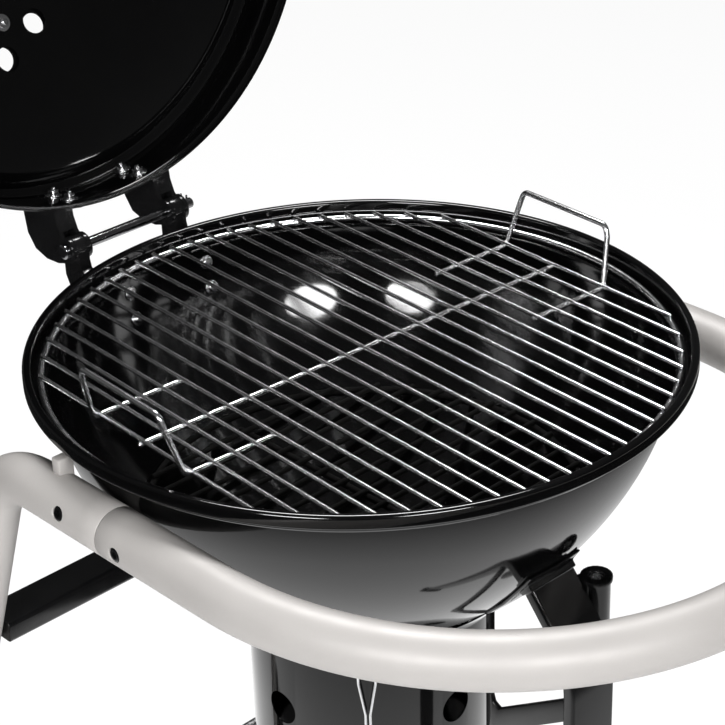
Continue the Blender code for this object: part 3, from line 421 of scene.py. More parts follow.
def sweep(points, section, cyclic=False, hollow=0.0, normal=None, ends=None):
    """A section moved along points. A hollow one has open ends and a wall.

    ends is a scale for the first and last rings, which makes a soft edge there.
    """
    points = [Vector(p) for p in points]
    count = len(points)
    ways = []
    for i in range(count):
        before = points[i - 1] if cyclic or i else points[i]
        after = points[(i + 1) % count] if cyclic or i < count - 1 else points[i]
        ways.append((after - before).normalized())
    side = Vector(normal) if normal else ways[0].orthogonal()
    sides = []
    for i, way in enumerate(ways):
        if i:
            side = ways[i - 1].rotation_difference(way) @ side
        side = (side - way * side.dot(way)).normalized()
        sides.append(side.copy())
    twist = 0.0
    if cyclic:
        last = ways[-1].rotation_difference(ways[0]) @ sides[-1]
        twist = math.atan2(ways[0].dot(last.cross(sides[0])), last.dot(sides[0]))
    bm = bmesh.new()

    def ring(i, scale):
        way = ways[i]
        u = Matrix.Rotation(twist * i / count, 3, way) @ sides[i]
        v = way.cross(u)
        return [bm.verts.new(points[i] + (u * a + v * b) * scale) for a, b in section]

    def skin(a, b):
        for k in range(len(a)):
            bm.faces.new([a[k], a[(k + 1) % len(a)], b[(k + 1) % len(b)], b[k]])

    outer = [ring(i, ends if ends and i in (0, count - 1) else 1.0) for i in range(count)]
    for a, b in zip(outer, outer[1:] + (outer[:1] if cyclic else [])):
        skin(a, b)
    if hollow:
        reach = max(math.hypot(*p) for p in section)
        inner = [ring(i, 1.0 - hollow / reach) for i in range(count)]
        for a, b in zip(inner, inner[1:]):
            skin(a, b)
        skin(outer[0], inner[0])
        skin(outer[-1], inner[-1])
    elif not cyclic:
        bm.faces.new(outer[0])
        bm.faces.new(outer[-1])
    return new_object("sweep", bm)


def wire(points, radius, cyclic=False, sides=14, hollow=0.0, steps=6, ends=0.72):
    path = rounded(points, steps)
    if not cyclic and not hollow and ends:
        for i, j in ((0, 1), (-1, -2)):
            inward = (path[j] - path[i]).normalized() * radius * 0.35
            path.insert(1 if i == 0 else len(path) - 1, path[i] + inward)
    return sweep(path, circle(radius, sides), cyclic, hollow, ends=None if cyclic or hollow else ends)


def bevelled(obj, width, segments=2, degrees=30.0):
    """Rounds the sharp edges of a mesh after joining its flat faces."""
    bm = bmesh.new()
    bm.from_mesh(obj.data)
    bmesh.ops.remove_doubles(bm, verts=bm.verts[:], dist=0.00001)
    bmesh.ops.dissolve_limit(bm, angle_limit=math.radians(0.6), verts=bm.verts[:], edges=bm.edges[:])
    sharp = [e for e in bm.edges
             if len(e.link_faces) == 2 and e.calc_face_angle(0.0) > math.radians(degrees)]
    bmesh.ops.bevel(bm, geom=sharp, offset=width, offset_type="OFFSET", segments=segments, profile=0.5,
                    affect="EDGES", clamp_overlap=True)
    bmesh.ops.recalc_face_normals(bm, faces=bm.faces[:])
    bm.to_mesh(obj.data)
    bm.free()
    return obj


def place(obj, *nodes, matrix=None, degrees=32.0, look=None, name=None):
    """Makes an object the visible piece for one or more CAD nodes, with their material and body."""
    node = nodes[0]
    if matrix is not None:
        obj.data.transform(matrix)
    bm = bmesh.new()
    bm.from_mesh(obj.data)
    bmesh.ops.remove_doubles(bm, verts=bm.verts[:], dist=0.000002)
    bmesh.ops.recalc_face_normals(bm, faces=bm.faces[:])
    bm.to_mesh(obj.data)
    bm.free()
    obj.name = obj.data.name = name or node + "_fine"
    obj.data.shade_smooth()
    obj.data.set_sharp_from_angle(angle=math.radians(degrees))
    obj.data.materials.clear()
    obj.data.materials.append(look or LOOKS[SLOT_OF[node]])
    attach(obj, frame["nodes"][node]["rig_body"])
    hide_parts(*nodes)
    return obj


def dressed(node, width, segments=2, degrees=30.0, smooth=32.0):
    """A piece with the CAD node's own shape and softened edges."""
    source = frame["nodes"][node]
    obj = bpy.data.objects.new("copy", source.data.copy())
    bpy.context.scene.collection.objects.link(obj)
    return place(bevelled(obj, width, segments, degrees), node, degrees=smooth)


def mirrored(obj):
    """A copy on the other side of the centre plane."""
    mesh = obj.data.copy()
    mesh.transform(Matrix.Scale(-1.0, 4, (1.0, 0.0, 0.0)))
    mesh.flip_normals()
    made = bpy.data.objects.new("mirrored", mesh)
    bpy.context.scene.collection.objects.link(made)
    return made


def both(obj, name, **options):
    place(mirrored(obj), name + "_left", **options)
    place(obj, name + "_right", **options)


# Bowl and lid

def press_points(radius, deep, start=0.0, floor=None, steps=44):
    """(radius, depth) points of a pressed curve, from a start depth to its axis."""
    floor = deep if floor is None else floor
    first = math.asin((start / deep) ** (PRESS / 2))
    last = math.asin((floor / deep) ** (PRESS / 2))
    found = []
    for i in range(steps + 1):
        angle = first + (last - first) * i / steps
        found.append((radius * math.cos(angle) ** (2 / PRESS), deep * math.sin(angle) ** (2 / PRESS)))
    if floor == deep:
        found.pop()
    return found + [(0.0, floor)]


def bowl_curve(grow):
    points = press_points(BOWL_R + grow, BOWL_DEEP + grow, BOWL_TOP - LEDGE_Z, BOWL_FLOOR + grow)
    return [(r, BOWL_TOP - deep) for r, deep in points]


def bowl_wall(x, z):
    r = BOWL_R * max(0.0, 1.0 - ((BOWL_TOP - z) / BOWL_DEEP) ** PRESS) ** (1.0 / PRESS)
    y = math.sqrt(r * r - x * x)
    side = (r / BOWL_R) ** (PRESS - 1.0) / BOWL_R
    down = ((BOWL_TOP - z) / BOWL_DEEP) ** (PRESS - 1.0) / BOWL_DEEP
    return at(x, y, z), Vector((side * x / r, side * y / r, -down)).normalized()


def build_bowl():
    curve = bowl_curve(-SHEET)
    low = LIP_TOP - LIP_DROP
    path = [(LIP_R - 0.0034, low), (LIP_R, low, 0.0016), (LIP_R, LIP_TOP, 0.0030),
            (SEAT_R, LIP_TOP, 0.0028), (SEAT_R, LEDGE_Z, 0.0030), (*curve[0], 0.0018)]
    path += curve[1:-2] + [(*curve[-2], 0.010), curve[-1]]
    bowl = lathe(sheet(rounded(path, 7), SHEET), matrix=Matrix.Translation(AXIS))
    holes = [rod(at(0, 0, -0.30), at(0, 0, -0.20), 0.0056)]
    for i in range(6):
        a = math.radians(60 * i + 30)
        x, y = 0.062 * math.cos(a), 0.062 * math.sin(a)
        holes.append(rod(at(x, y, -0.30), at(x, y, -0.15), 0.012))
    for side in (-1, 1):
        for z in BOWL_BOLT_Z:
            point, normal = bowl_wall(side * BOWL_BOLT_X, z)
            holes.append(rod(point - normal * 0.012, point + normal * 0.012, 0.0028, 20))
    place(cut(bowl, *holes), "bowl")


def lid_normal(r, y):
    """A point and outward normal of the closed lid's dome, at a radius and on its way along Y."""
    high = LID_H - DOME_Z
    z = high * max(0.0, 1.0 - (r / DOME_R) ** PRESS) ** (1.0 / PRESS)
    x = math.sqrt(max(0.0, r * r - y * y))
    out = (r / DOME_R) ** (PRESS - 1.0) / DOME_R
    up = (z / high) ** (PRESS - 1.0) / high
    return at(x, y, RIM_Z + DOME_Z + z), Vector((out * x / r, out * y / r, up)).normalized()


VENT, VENT_OUT = lid_normal(0.1321, 0.1321)
FOOT, FOOT_OUT = lid_normal(math.hypot(0.062, 0.215), -0.215)


def vent_holes(turn=0.0, ring=0.0353, radius=0.012):
    side = Vector((1.0, 0.0, 0.0))
    other = VENT_OUT.cross(side)
    made = []
    for i in range(4):
        a = math.radians(90 * i + 12) + turn
        spot = VENT + (side * math.cos(a) + other * math.sin(a)) * ring
        made.append(rod(spot - VENT_OUT * 0.03, spot + VENT_OUT * 0.02, radius, 48))
    return made


def lid_wall(x, high):
    y = math.sqrt(SKIRT_R ** 2 - x * x)
    return at(x, y, RIM_Z + high), Vector((x, y, 0.0)).normalized()


def flip(direction):
    return Vector((-direction.x, direction.y, direction.z))


def build_lid():
    dome = [(r, DOME_Z + high) for r, high in reversed(press_points(DOME_R, LID_H - DOME_Z))]
    path = dome[:-1] + [(DOME_R, DOME_Z, 0.0030), (SKIRT_R, SKIRT_H, 0.0050), (SKIRT_R, 0.0085, 0.0030),
                        (RIM_R, 0.0048, 0.0016), (RIM_R, 0.0, 0.0016), (RIM_R - 0.0052, 0.0, 0.0010),
                        (RIM_R - 0.0052, 0.0012)]
    lid = lathe(sheet(rounded(path, 7), -SHEET), matrix=Matrix.Translation(at(0, 0, RIM_Z)))
    holes = vent_holes()
    holes.append(rod(VENT - VENT_OUT * 0.02, VENT + VENT_OUT * 0.02, 0.0033, 20))
    for side in (-1, 1):
        for high in LID_BOLT_H:
            spot, out = lid_wall(side * LID_BOLT_X, high)
            holes.append(rod(spot - out * 0.012, spot + out * 0.012, 0.0028, 20))
        spot = Vector((side * FOOT.x, FOOT.y, FOOT.z))
        out = FOOT_OUT if side > 0 else flip(FOOT_OUT)
        holes.append(rod(spot - out * 0.02, spot + out * 0.02, 0.0028, 20))
    place(cut(lid, *holes), "lid", matrix=LID)


def build_lid_vent():
    outline = rounded([(0.0, 0.0012), (0.0545, 0.0012, 0.0008), (0.0560, 0.0004, 0.0004), (0.0560, 0.0018, 0.0004),
                       (0.0548, 0.0026, 0.0008), (0.010, 0.0026), (0.0, 0.0026)], 3)
    disc = lathe(outline, 128, stand_on(VENT, VENT_OUT))
    tab_at = VENT + VENT_OUT.cross(Vector((1, 0, 0))) * 0.050
    tab = rod(tab_at + VENT_OUT * 0.0014, tab_at + VENT_OUT * 0.016, 0.003, 24, 0.0012)
    disc = cut(join(disc, tab), *vent_holes(math.radians(6)),
               rod(VENT - VENT_OUT * 0.02, VENT + VENT_OUT * 0.02, 0.0033, 20))
    place(disc, "lid_damper", matrix=LID)
    pin = threaded(VENT - VENT_OUT * 0.0080, VENT + VENT_OUT * 0.0050, 0.0029)
    head = lathe(rounded([(0.0, 0.0029), (0.0075, 0.0029, 0.0004), (0.0072, 0.0044, 0.0010), (0.0045, 0.0058, 0.002),
                          (0.0, 0.0061)], 4), 40, stand_on(VENT, VENT_OUT))
    washer = rod(VENT - VENT_OUT * 0.0022, VENT - VENT_OUT * 0.0014, 0.0085, 40, 0.0003)
    nut = prism(VENT - VENT_OUT * 0.0062, VENT_OUT, 0.0100, 0.0041, 0.0006)
    place(merge([pin, head, washer, nut]), "lid_damper_bolt", matrix=LID)


def threaded(start, end, radius, pitch=0.0008):
    """A bar with grooves round it, as a screw thread shows."""
    start, end = Vector(start), Vector(end)
    length = (end - start).length
    outline = [(0.0, 0.0), (radius * 0.72, 0.0)]
    z = 0.0003
    while z + pitch < length - 0.0002:
        outline += [(radius * 0.84, z), (radius, z + pitch * 0.35), (radius, z + pitch * 0.55)]
        z += pitch
    outline += [(radius * 0.84, z), (radius * 0.84, length), (0.0, length)]
    return lathe(outline, 24, stand_on(start, end - start), "thread")


def build_handle():
    for side, name in ((-1, "left"), (1, "right")):
        spot = Vector((side * FOOT.x, FOOT.y, FOOT.z))
        out = FOOT_OUT if side > 0 else flip(FOOT_OUT)
        outline = rounded([(0.0, 0.0035), (0.0120, 0.0035, 0.0006), (0.0120, 0.0070, 0.0012),
                           (0.0070, 0.0095, 0.0030), (0.0062, 0.0200, 0.004), (0.0070, 0.0360, 0.0010),
                           (0.0, 0.0360)], 5)
        post = lathe(outline, 48, stand_on(spot, out))
        bolt = threaded(spot - out * 0.0090, spot + out * 0.0100, 0.0025)
        nut = prism(spot - out * 0.0065, out, 0.0082, 0.0031, 0.0005)
        place(merge([post, bolt, nut]), "lid_handle_stand_" + name, matrix=LID)
    grip_low, grip_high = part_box("lid_handle_grip")
    half = (grip_high.x - grip_low.x) / 2
    outline = [(0.0, -half), (0.0050, -half, 0.0020), (0.0068, -half + 0.006, 0.004)]
    count = 9
    for i in range(count):
        x = -half + 0.018 + (2 * half - 0.036) * i / (count - 1)
        outline += [(0.0088, x - 0.0020, 0.0008), (0.0080, x, 0.0008), (0.0088, x + 0.0020, 0.0008)]
    outline += [(0.0068, half - 0.006, 0.004), (0.0050, half, 0.0020), (0.0, half)]
    ends = [Vector((side * FOOT.x, FOOT.y, FOOT.z)) + (FOOT_OUT if side > 0 else flip(FOOT_OUT)) * 0.046
            for side in (-1, 1)]
    grip = lathe(rounded(outline, 3), 48, stand_on((ends[0] + ends[1]) / 2, (1, 0, 0)))
    place(grip, "lid_handle_grip", matrix=LID)


# Hinge

def hex_bolt(spot, out, head, nut, tip, washer, plate, across, tall, head_inside=True):
    """A bolt through a sheet at a spot: a round head one side, a washer and nut on the other."""
    way = out if head_inside else -out
    dome = lathe(rounded([(0.0, 0.0), (0.0048, 0.0, 0.0003), (0.0048, -0.0012, 0.0008), (0.0030, -0.0029, 0.0014),
                          (0.0, -0.0032)], 4), 36, stand_on(spot - way * head, way))
    under = rod(spot - way * head, spot - way * (head - 0.0010), washer, 36, 0.0003)
    shank = threaded(spot - way * (head - 0.0002), spot + way * tip, 0.0025)
    ring = rod(spot + way * (nut - 0.0011), spot + way * nut, plate, 40, 0.0003)
    hexagon = prism(spot + way * nut, way, across, tall, 0.0007)
    return merge([dome, under, shank, ring, hexagon])


def build_hinge_bolts():
    for side, name in ((-1, "left"), (1, "right")):
        for high, level in zip(LID_BOLT_H, ("lower", "upper")):
            spot, out = lid_wall(side * LID_BOLT_X, high)
            made = hex_bolt(spot, out, 0.0046, 0.0026, 0.0098, 0.0052, 0.0082, 0.0098, 0.0044, head_inside=False)
            place(made, f"lid_hinge_bolt_{name}_{level}", matrix=LID)
        for z, level in zip(BOWL_BOLT_Z, ("upper", "lower")):
            spot, out = bowl_wall(side * BOWL_BOLT_X, z)
            made = hex_bolt(spot, out, 0.0026, 0.0056, 0.0110, 0.0066, 0.0060, 0.0080, 0.0034)
            place(made, f"bowl_hinge_bolt_{name}_{level}")


def build_hinge():
    for side in ("left", "right"):
        dressed("lid_hinge_arm_" + side, 0.0011, 3)
        dressed("bowl_hinge_bracket_" + side, 0.0009, 3)
    low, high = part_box("hinge_rod")
    y, z = PIVOT.y, PIVOT.z
    head = lathe(rounded([(0.0, 0.0), (0.0052, 0.0, 0.0010), (0.0072, 0.0010, 0.0006), (0.0072, 0.0052, 0.0005),
                          (0.0, 0.0052)], 4), 48, stand_on((low.x, y, z), (1, 0, 0)))
    pin = rod((low.x + 0.001, y, z), (high.x, y, z), 0.005, 40, 0.0012)
    hole_x = high.x - 0.005
    pin = cut(join(pin, head), rod((hole_x, y, z - 0.01), (hole_x, y, z + 0.01), 0.0014, 16))
    place(pin, "hinge_rod", look=ROD_STEEL)
    clip = [(hole_x, y, z + 0.009), (hole_x, y, z - 0.010, 0.002), (hole_x, y + 0.003, z - 0.0135, 0.002),
            (hole_x, y + 0.0075, z - 0.0125, 0.002), (hole_x, y + 0.0085, z - 0.008, 0.004),
            (hole_x, y + 0.0072, z, 0.004), (hole_x, y + 0.0085, z + 0.008)]
    place(wire(clip, 0.0010, sides=12), "hinge_clip")


# Grates

def circle_points(radius, z, steps):
    return [(radius * math.cos(2 * math.pi * i / steps), radius * math.sin(2 * math.pi * i / steps), z)
            for i in range(steps)]


def grate_bars(count, step, ring, radius, z):
    made = []
    for i in range(count):
        x = (i - (count - 1) / 2) * step
        half = math.sqrt(ring * ring - x * x) + 0.0022
        made.append(wire([(x, -half, z), (x, half, z)], radius, sides=14))
    return made


def build_cooking_grate():
    ring_z = -0.002 - 0.003 + 0.0006
    below = -0.002 - 0.0025 + 0.0006
    pieces = grate_bars(23, 0.0208, 0.2705, 0.002, 0.0)
    pieces.append(sweep(circle_points(0.2705, ring_z, TURNS), circle(0.003, 16), cyclic=True))
    pieces.append(wire([(-0.232, 0, below), (0.232, 0, below)], 0.0025))
    for side in (-1, 1):
        path = [(0.143, -0.062, below), (0.2322, -0.062, below, 0.006), (0.2440, -0.0545, 0.0400, 0.010),
                (0.2452, -0.0510, 0.0500, 0.008)]
        path = [(side * p[0], *p[1:]) for p in path]
        path += [(p[0], -p[1], *p[2:]) for p in reversed(path)]
        pieces.append(wire(path, 0.0025, sides=16, steps=8))
    turn = Matrix.Translation(AXIS) @ Matrix.Rotation(math.radians(-3.0), 4, "Z")
    place(merge(pieces), "cooking_grate", matrix=turn)


def build_charcoal_grate():
    pieces = grate_bars(13, 0.026, 0.1925, 0.0025, 0.0046)
    pieces.append(sweep(circle_points(0.1925, 0.0, 128), circle(0.003, 14), cyclic=True))
    pieces.append(wire([(-0.168, 0, 0.0), (0.168, 0, 0.0)], 0.003))
    turn = Matrix.Translation(at(0, 0, -0.150)) @ Matrix.Rotation(math.pi / 2, 4, "Z")
    place(merge(pieces), "charcoal_grate", matrix=turn)


# Ash parts

BUCKET_R = 0.1095
LEVER_Z = -0.262
LEVER_AZ = math.radians(76.0)
LATCH_AZ = math.radians(225.0)
LATCH_PIVOT = (BUCKET_R + 0.0045, -0.350)


def build_ash_parts():
    dressed("ash_sweeper", 0.0005, 1)
    way = Vector((math.cos(LEVER_AZ), math.sin(LEVER_AZ), 0.0))
    middle = at(0, 0, LEVER_Z)
    collar = lathe(rounded([(0.0053, -0.006), (0.010, -0.006, 0.001), (0.010, 0.006, 0.001), (0.0053, 0.006)], 3),
                   40, Matrix.Translation(middle))
    arm = rod(middle + way * 0.0095, middle + way * 0.160, 0.003, 20)
    knob = lathe(rounded([(0.0, 0.150), (0.0055, 0.150, 0.001), (0.0080, 0.160, 0.006), (0.0080, 0.176, 0.004),
                          (0.0050, 0.182, 0.003), (0.0, 0.182)], 5), 36, stand_on(middle, way))
    place(merge([collar, arm, knob]), "sweeper_lever")

    def slot():
        return dressed_block((0.06, -0.055, -0.0065), (0.14, 0.055, 0.0165),
                             Matrix.Translation(middle) @ Matrix.Rotation(LEVER_AZ, 4, "Z"))

    path = rounded([(0.1460, -0.2055), (0.1300, -0.2250, 0.012), (0.1135, -0.2400, 0.006),
                    (0.1065, -0.2465, 0.003), (0.1065, -0.2570)], 6)
    funnel = lathe(sheet(path, -SHEET), 128, Matrix.Translation(AXIS))
    place(cut(funnel, slot()), "ash_funnel")

    path = rounded([(BUCKET_R, -0.2475), (BUCKET_R, -0.388, 0.007), (0.0, -0.388)], 6)
    bucket = lathe(sheet(path, -SHEET), 144, Matrix.Translation(AXIS))
    holes = []
    for i in range(4):
        a = math.pi / 2 * i
        out = Vector((math.cos(a), math.sin(a), 0.0))
        holes.append(rod(at(0, 0, -0.322) + out * 0.09, at(0, 0, -0.322) + out * 0.12, 0.016, 48))
    bucket = cut(bucket, slot(), *holes)
    for turn, name in ((0.0, "front"), (math.pi, "rear")):
        stand = Matrix.Translation(AXIS) @ Matrix.Rotation(LATCH_AZ + turn, 4, "Z")
        r, z = LATCH_PIVOT
        lug = dressed_block((BUCKET_R - 0.0009, -0.0028, z - 0.0035), (r + 0.0035, 0.0028, z + 0.0035), stand, 0.0008)
        lug = cut(lug, lathe([(0.0, -0.01), (0.0019, -0.01), (0.0019, 0.01), (0.0, 0.01)], 20,
                             stand @ stand_on((r, 0.0, z), (0, 1, 0))))
        bucket = join(bucket, lug)
        half = [(r, -0.0046, z), (r + 0.0006, -0.0040, z + 0.008, 0.006), (r - 0.0002, -0.0022, z + 0.018, 0.008),
                (r - 0.0004, -0.0020, -0.303, 0.010), (r - 0.0004, -0.0074, -0.270, 0.012),
                (r + 0.0004, -0.0080, -0.245, 0.004), (0.1212, -0.0072, -0.2380, 0.002),
                (0.1240, -0.0050, -0.2352, 0.001)]
        points = half[1:] + [(p[0], -p[1], *p[2:]) for p in reversed(half[1:])]
        points = [half[0]] + points + [(half[0][0], -half[0][1], half[0][2])]
        place(wire(points, 0.0013, cyclic=True, sides=12), "bucket_latch_" + name, matrix=stand)
    place(bucket, "ash_bucket")


def dressed_block(low, high, matrix, bevel=0.0):
    low, high = Vector(low), Vector(high)
    bm = bmesh.new()
    bmesh.ops.create_cube(bm, size=1.0)
    bmesh.ops.scale(bm, vec=high - low, verts=bm.verts[:])
    bmesh.ops.translate(bm, vec=(low + high) / 2, verts=bm.verts[:])
    if bevel:
        bmesh.ops.bevel(bm, geom=bm.edges[:], offset=bevel, segments=3, profile=0.5, affect="EDGES")
    return new_object("block", bm, matrix)


# Tube trolley

LOOP_X = 0.283
LOOP_Z = -0.047
LOOP_BEND_Y = -0.141
LOOP_REACH = 0.290
SEAM_Y = -0.020
SCREW_Y = (0.028, -0.044)
SPLAY = math.radians(20.0)
TUBE_LINE = Matrix.Translation(at(LOOP_X, 0, LOOP_Z))
RISE = TUBE_LINE @ Matrix.Rotation(math.radians(-15.0), 4, "Y") @ TUBE_LINE.inverted()
AXLE = middle_of("axle")


def screw_recess(side, y):
    """A cutter for a screw's hole with a soft edge, in the outer side of a tube."""
    x = side * (LOOP_X + TUBE_R)
    outline = rounded([(0.0, -0.012), (0.0062, -0.012), (0.0062, -0.0008, 0.0006), (0.0071, 0.0002),
                       (0.0071, 0.003), (0.0, 0.003)], 3)
    return lathe(outline, 40, stand_on(at(x, y, LOOP_Z), (side, 0, 0)))


def raised(obj):
    """Turns a helper up about the right tube's centre line, to where the rear screw sits."""
    obj.data.transform(RISE)
    return obj


def build_trolley():
    steps = 120
    points = [(-LOOP_X, SEAM_Y, LOOP_Z), (-LOOP_X, SEAM_Y - 0.0006, LOOP_Z), (-LOOP_X, SEAM_Y - 0.02, LOOP_Z),
              (-LOOP_X, (SEAM_Y + LOOP_BEND_Y) / 2, LOOP_Z)]
    for i in range(steps + 1):
        a = math.pi * i / steps
        points.append((-LOOP_X * math.cos(a), LOOP_BEND_Y - LOOP_REACH * math.sin(a), LOOP_Z))
    points += [(-x, y, z) for x, y, z in reversed(points[:4])]
    loop = sweep([at(*p) for p in points], circle(TUBE_R, 56), hollow=WALL, ends=0.978)
    place(cut(loop, screw_recess(-1, SCREW_Y[1]), screw_recess(1, SCREW_Y[1])), "handle_loop", degrees=40)

    axle_y, axle_z = AXLE.y - AXIS.y, AXLE.z - AXIS.z
    bend_y = axle_y - (LOOP_Z - axle_z) * math.tan(SPLAY)
    low = axle_z - 0.024
    start = SEAM_Y + 0.0006
    points = [(LOOP_X, start, LOOP_Z), (LOOP_X, start + 0.0006, LOOP_Z), (LOOP_X, start + 0.02, LOOP_Z),
              (LOOP_X, bend_y, LOOP_Z, 0.075),
              (LOOP_X, bend_y + (LOOP_Z - low) * math.tan(SPLAY), low)]
    path = rounded([at(*p[:3])[:] + p[3:] for p in points], 20)
    leg = sweep(path, circle(TUBE_R, 56), hollow=WALL, ends=0.978)
    leg = cut(leg, raised(screw_recess(1, SCREW_Y[0])),
              rod(at(LOOP_X - 0.04, axle_y, axle_z), at(LOOP_X + 0.04, axle_y, axle_z), 0.0063))
    both(leg, "rear_leg", degrees=40)

    inner = TUBE_R - WALL - 0.0007
    sleeve = sweep([at(LOOP_X, -0.068, LOOP_Z), at(LOOP_X, 0.050, LOOP_Z)], circle(inner, 48), hollow=WALL)
    bores = [rod(at(LOOP_X, y, LOOP_Z), at(LOOP_X + 0.03, y, LOOP_Z), 0.0033, 20) for y in SCREW_Y]
    sleeve = cut(sleeve, raised(bores[0]), bores[1])
    both(sleeve, "loop_joint_sleeve")

    x = LOOP_X + TUBE_R
    for y, name in zip(SCREW_Y, ("rear", "front")):
        outline = rounded([(0.0, -0.010), (0.0030, -0.010, 0.0006), (0.0030, -0.0019), (0.0058, -0.0019, 0.0002),
                           (0.0058, -0.0010, 0.0005), (0.0044, -0.0004, 0.0004), (0.0, -0.0004)], 4)
        head = lathe(outline, 36, stand_on(at(x, y, LOOP_Z), (1, 0, 0)))
        socket = rod(at(x - 0.0030, y, LOOP_Z), at(x + 0.002, y, LOOP_Z), 0.0033, 6)
        screw = cut(head, socket)
        both(raised(screw) if name == "rear" else screw, "loop_screw_" + name)

    bar_low, bar_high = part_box("rear_crossbar")
    centre = (bar_low + bar_high) / 2
    bar = sweep([(bar_low.x, centre.y, centre.z), (bar_low.x + 0.0004, centre.y, centre.z),
                 (bar_high.x - 0.0004, centre.y, centre.z), (bar_high.x, centre.y, centre.z)],
                rectangle(bar_high.y - bar_low.y, bar_high.z - bar_low.z, 0.0045, 7), normal=(0, 1, 0), ends=0.985)
    place(bar, "rear_crossbar")
    for side in ("left", "right"):
        dressed("bowl_support_" + side, 0.0008, 2)


# Front leg

LEG_TOP = (-0.217, -0.139)
LEG_LEAN = math.radians(40.0)
LEG_BEND_R = 0.1335
LEG_Y = -0.261


def build_front_leg():
    y, z = LEG_TOP
    run = (y - LEG_Y) / math.sin(LEG_LEAN)
    path = rounded([at(0, y, z)[:], at(0, LEG_Y, z - run * math.cos(LEG_LEAN))[:] + (LEG_BEND_R,),
                    at(0, LEG_Y, 0.0105 - AXIS.z)[:]], 24)
    leg = sweep(path, rectangle(0.052, 0.012, 0.0032, 6), normal=(1, 0, 0), ends=0.99)
    place(leg, "front_leg")
    dressed("front_leg_bracket", 0.0014, 3)
    dressed("leg_side_post", 0.0009, 3)
    dressed("post_screw", 0.0004, 2)
    dressed("leg_brace", 0.0009, 2)
    dressed("front_foot", 0.0020, 3)


# Wheels

def build_wheels():
    low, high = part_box("axle")
    place(rod((low.x, AXLE.y, AXLE.z), (high.x, AXLE.y, AXLE.z), 0.006, 40, 0.0008), "axle")
    half = 0.019
    tyre = [(0.0840, half - 0.003), (0.0880, half - 0.0012, 0.002), (0.0940, half - 0.0018, 0.003),
            (0.0985, half - 0.0070, 0.004)]
    tread = []
    for x in (0.0085, 0.0028):
        tread += [(0.1000, x + 0.0028, 0.0004), (0.1000, x + 0.0007, 0.0003), (0.0988, x + 0.0003, 0.0003),
                  (0.0988, x - 0.0003, 0.0003)]
    outline = tyre + tread
    outline += [(p[0], -p[1], *p[2:]) for p in reversed(outline)]
    outline = rounded(outline, 4)
    rim = rounded([(0.0836, half - 0.004), (0.0836, 0.004 - half), (0.076, 0.004 - half, 0.0012), (0.076, -0.004, 0.003),
                   (0.022, -0.004, 0.003), (0.020, -half, 0.0015), (0.0063, -half), (0.0063, half),
                   (0.020, half, 0.0015), (0.022, 0.004, 0.003), (0.076, 0.004, 0.003), (0.076, half - 0.004, 0.0012)], 4)
    cap = rounded([(0.0, 0.012), (0.010, 0.0115, 0.004), (0.0165, 0.008, 0.004), (0.018, 0.003, 0.001),
                   (0.018, 0.0, 0.0005), (0.007, 0.0), (0.007, 0.005), (0.0, 0.005)], 5)
    for side, name in ((-1, "left"), (1, "right")):
        stand = Matrix.Translation((side * 0.333, AXLE.y, AXLE.z)) @ Matrix.Rotation(side * math.pi / 2, 4, "Y")
        place(lathe(outline, 160, stand), "tyre_" + name)
        wheel = lathe(rim, 120, stand)
        ribs = []
        for i in range(6):
            turn = stand @ Matrix.Rotation(math.pi / 3 * i, 4, "Z")
            ribs.append(dressed_block((0.0195, -0.0030, -0.0115), (0.0780, 0.0030, 0.0115), turn, 0.0012))
        place(join(wheel, merge(ribs)), "wheel_" + name)
        place(lathe(cap, 64, stand @ Matrix.Translation((0, 0, half + 0.0005))), "hub_cap_" + name)


# Studio

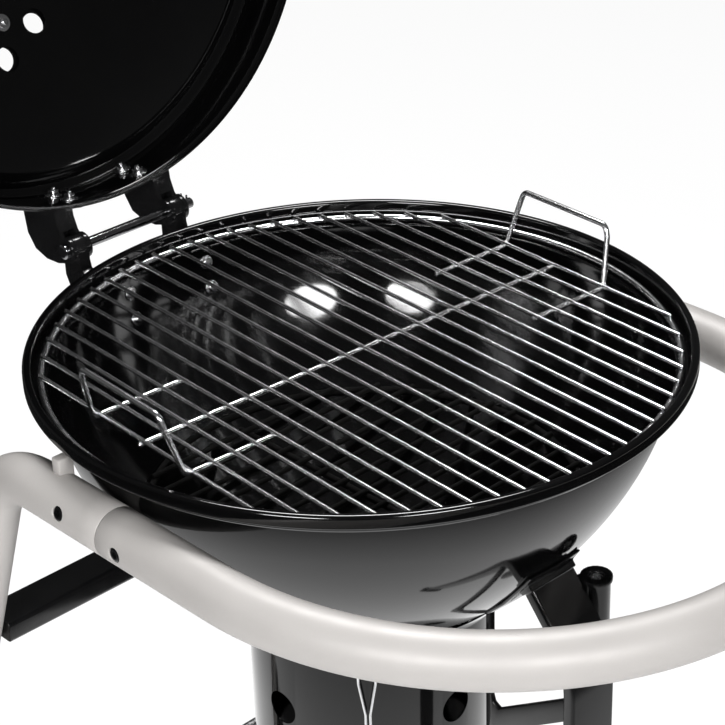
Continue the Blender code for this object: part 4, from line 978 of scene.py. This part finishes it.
def build_studio():
    floor_size = 14.0
    bm = bmesh.new()
    bmesh.ops.create_grid(bm, x_segments=4, y_segments=4, size=floor_size)
    floor = new_object("studio_floor", bm)
    for face in floor.data.polygons:
        if face.normal.z < 0:
            floor.data.flip_normals()
            break
    n = Nodes("floor_look")
    n.done(Base_Color=n.blend(n.noise(1.5), (0.86, 0.86, 0.86), (0.89, 0.89, 0.89)), Roughness=0.8)
    path = n.add("ShaderNodeLightPath")
    far = n.add("ShaderNodeVectorMath", operation="LENGTH")
    n.link(n.place, far.inputs[0])
    strength = n.add("ShaderNodeMix")          # camera rays see white, reflections a pool of light
    n.link(path.outputs["Is Camera Ray"], strength.inputs["Factor"])
    n.link(n.spread(far.outputs["Value"], 1.25, 0.02, 0.55, 1.35), strength.inputs["A"])
    strength.inputs["B"].default_value = 1.06
    glow = n.add("ShaderNodeEmission")
    n.link(strength.outputs["Result"], glow.inputs["Strength"])
    level = n.add("ShaderNodeMath", operation="MULTIPLY_ADD")
    level.inputs[1].default_value = 0.86
    n.link(path.outputs["Is Camera Ray"], level.inputs[0])
    n.link(path.outputs["Is Glossy Ray"], level.inputs[2])
    share = n.add("ShaderNodeMixShader")
    n.link(level.outputs[0], share.inputs["Fac"])
    n.link(n.shader.outputs[0], share.inputs[1])
    n.link(glow.outputs[0], share.inputs[2])
    n.link(share.outputs[0], n.tree.nodes["Material Output"].inputs["Surface"])
    floor.data.materials.append(n.material)

    world = bpy.data.worlds.new("studio")
    bpy.context.scene.world = world
    world.use_nodes = True
    nodes, links = world.node_tree.nodes, world.node_tree.links
    back = nodes["Background"]
    place_in = nodes.new("ShaderNodeTexCoord")
    split = nodes.new("ShaderNodeSeparateXYZ")
    ramp = nodes.new("ShaderNodeValToRGB")
    links.new(place_in.outputs["Generated"], split.inputs[0])
    links.new(split.outputs["Z"], ramp.inputs["Fac"])
    stops = ramp.color_ramp.elements
    stops.new(0.22)
    stops.new(0.42)
    for stop, position, grey in zip(stops, (0.0, 0.22, 0.42, 1.0), (0.10, 0.07, 0.05, 0.10)):
        stop.position = position
        stop.color = (grey, grey, grey, 1.0)
    white = nodes.new("ShaderNodeMixRGB")
    seen = nodes.new("ShaderNodeLightPath")
    links.new(seen.outputs["Is Camera Ray"], white.inputs["Fac"])
    links.new(ramp.outputs["Color"], white.inputs["Color1"])
    white.inputs["Color2"].default_value = (1.0, 1.0, 1.0, 1.0)
    links.new(white.outputs["Color"], back.inputs["Color"])
    back.inputs["Strength"].default_value = 1.0


def softbox(name, azimuth, elevation, distance, width, height, power, target=None):
    """An oval lamp given by its direction from the bowl, in degrees."""
    a, e = math.radians(azimuth), math.radians(elevation)
    away = Vector((math.sin(a) * math.cos(e), -math.cos(a) * math.cos(e), math.sin(e)))
    data = bpy.data.lights.new(name, "AREA")
    data.shape = "ELLIPSE"
    data.size = width
    data.size_y = height
    data.energy = power
    lamp = bpy.data.objects.new(name, data)
    bpy.context.scene.collection.objects.link(lamp)
    lamp.matrix_world = Matrix.Translation((target or AXIS) + away * distance) @ away.to_track_quat("Z", "Y").to_matrix().to_4x4()
    lamp.visible_camera = False
    return lamp


def build_camera():
    a, e, r = (math.radians(v) for v in (-42.92, 27.96, -1.88))
    back = Vector((math.sin(a) * math.cos(e), -math.cos(a) * math.cos(e), math.sin(e)))
    x = Vector((0.0, 0.0, 1.0)).cross(back).normalized()
    y = back.cross(x)
    right = math.cos(r) * x + math.sin(r) * y
    up = math.cos(r) * y - math.sin(r) * x
    data = bpy.data.cameras.new("camera")
    data.sensor_width = 36.0
    data.lens = 107.35
    data.shift_x = 0.00268
    data.shift_y = -0.02357
    camera = bpy.data.objects.new("camera", data)
    bpy.context.scene.collection.objects.link(camera)
    turn = Matrix((right, up, back)).transposed().to_4x4()
    camera.matrix_world = Matrix.Translation(at(-1.1052, -1.1885, 0.8615)) @ turn
    bpy.context.scene.camera = camera


build_bowl()
build_lid()
build_lid_vent()
build_handle()
build_hinge()
build_hinge_bolts()
build_cooking_grate()
build_charcoal_grate()
build_ash_parts()
build_trolley()
build_front_leg()
build_wheels()
build_studio()
softbox("softbox_right", -22, 23.5, 3.4, 1.25, 0.72, 75)
softbox("softbox_left", -65, 22.5, 3.4, 1.15, 0.68, 75)
softbox("softbox_top", 137, 62, 2.6, 1.5, 0.7, 80)
build_camera()
bpy.context.scene.view_settings.view_transform = "Standard"
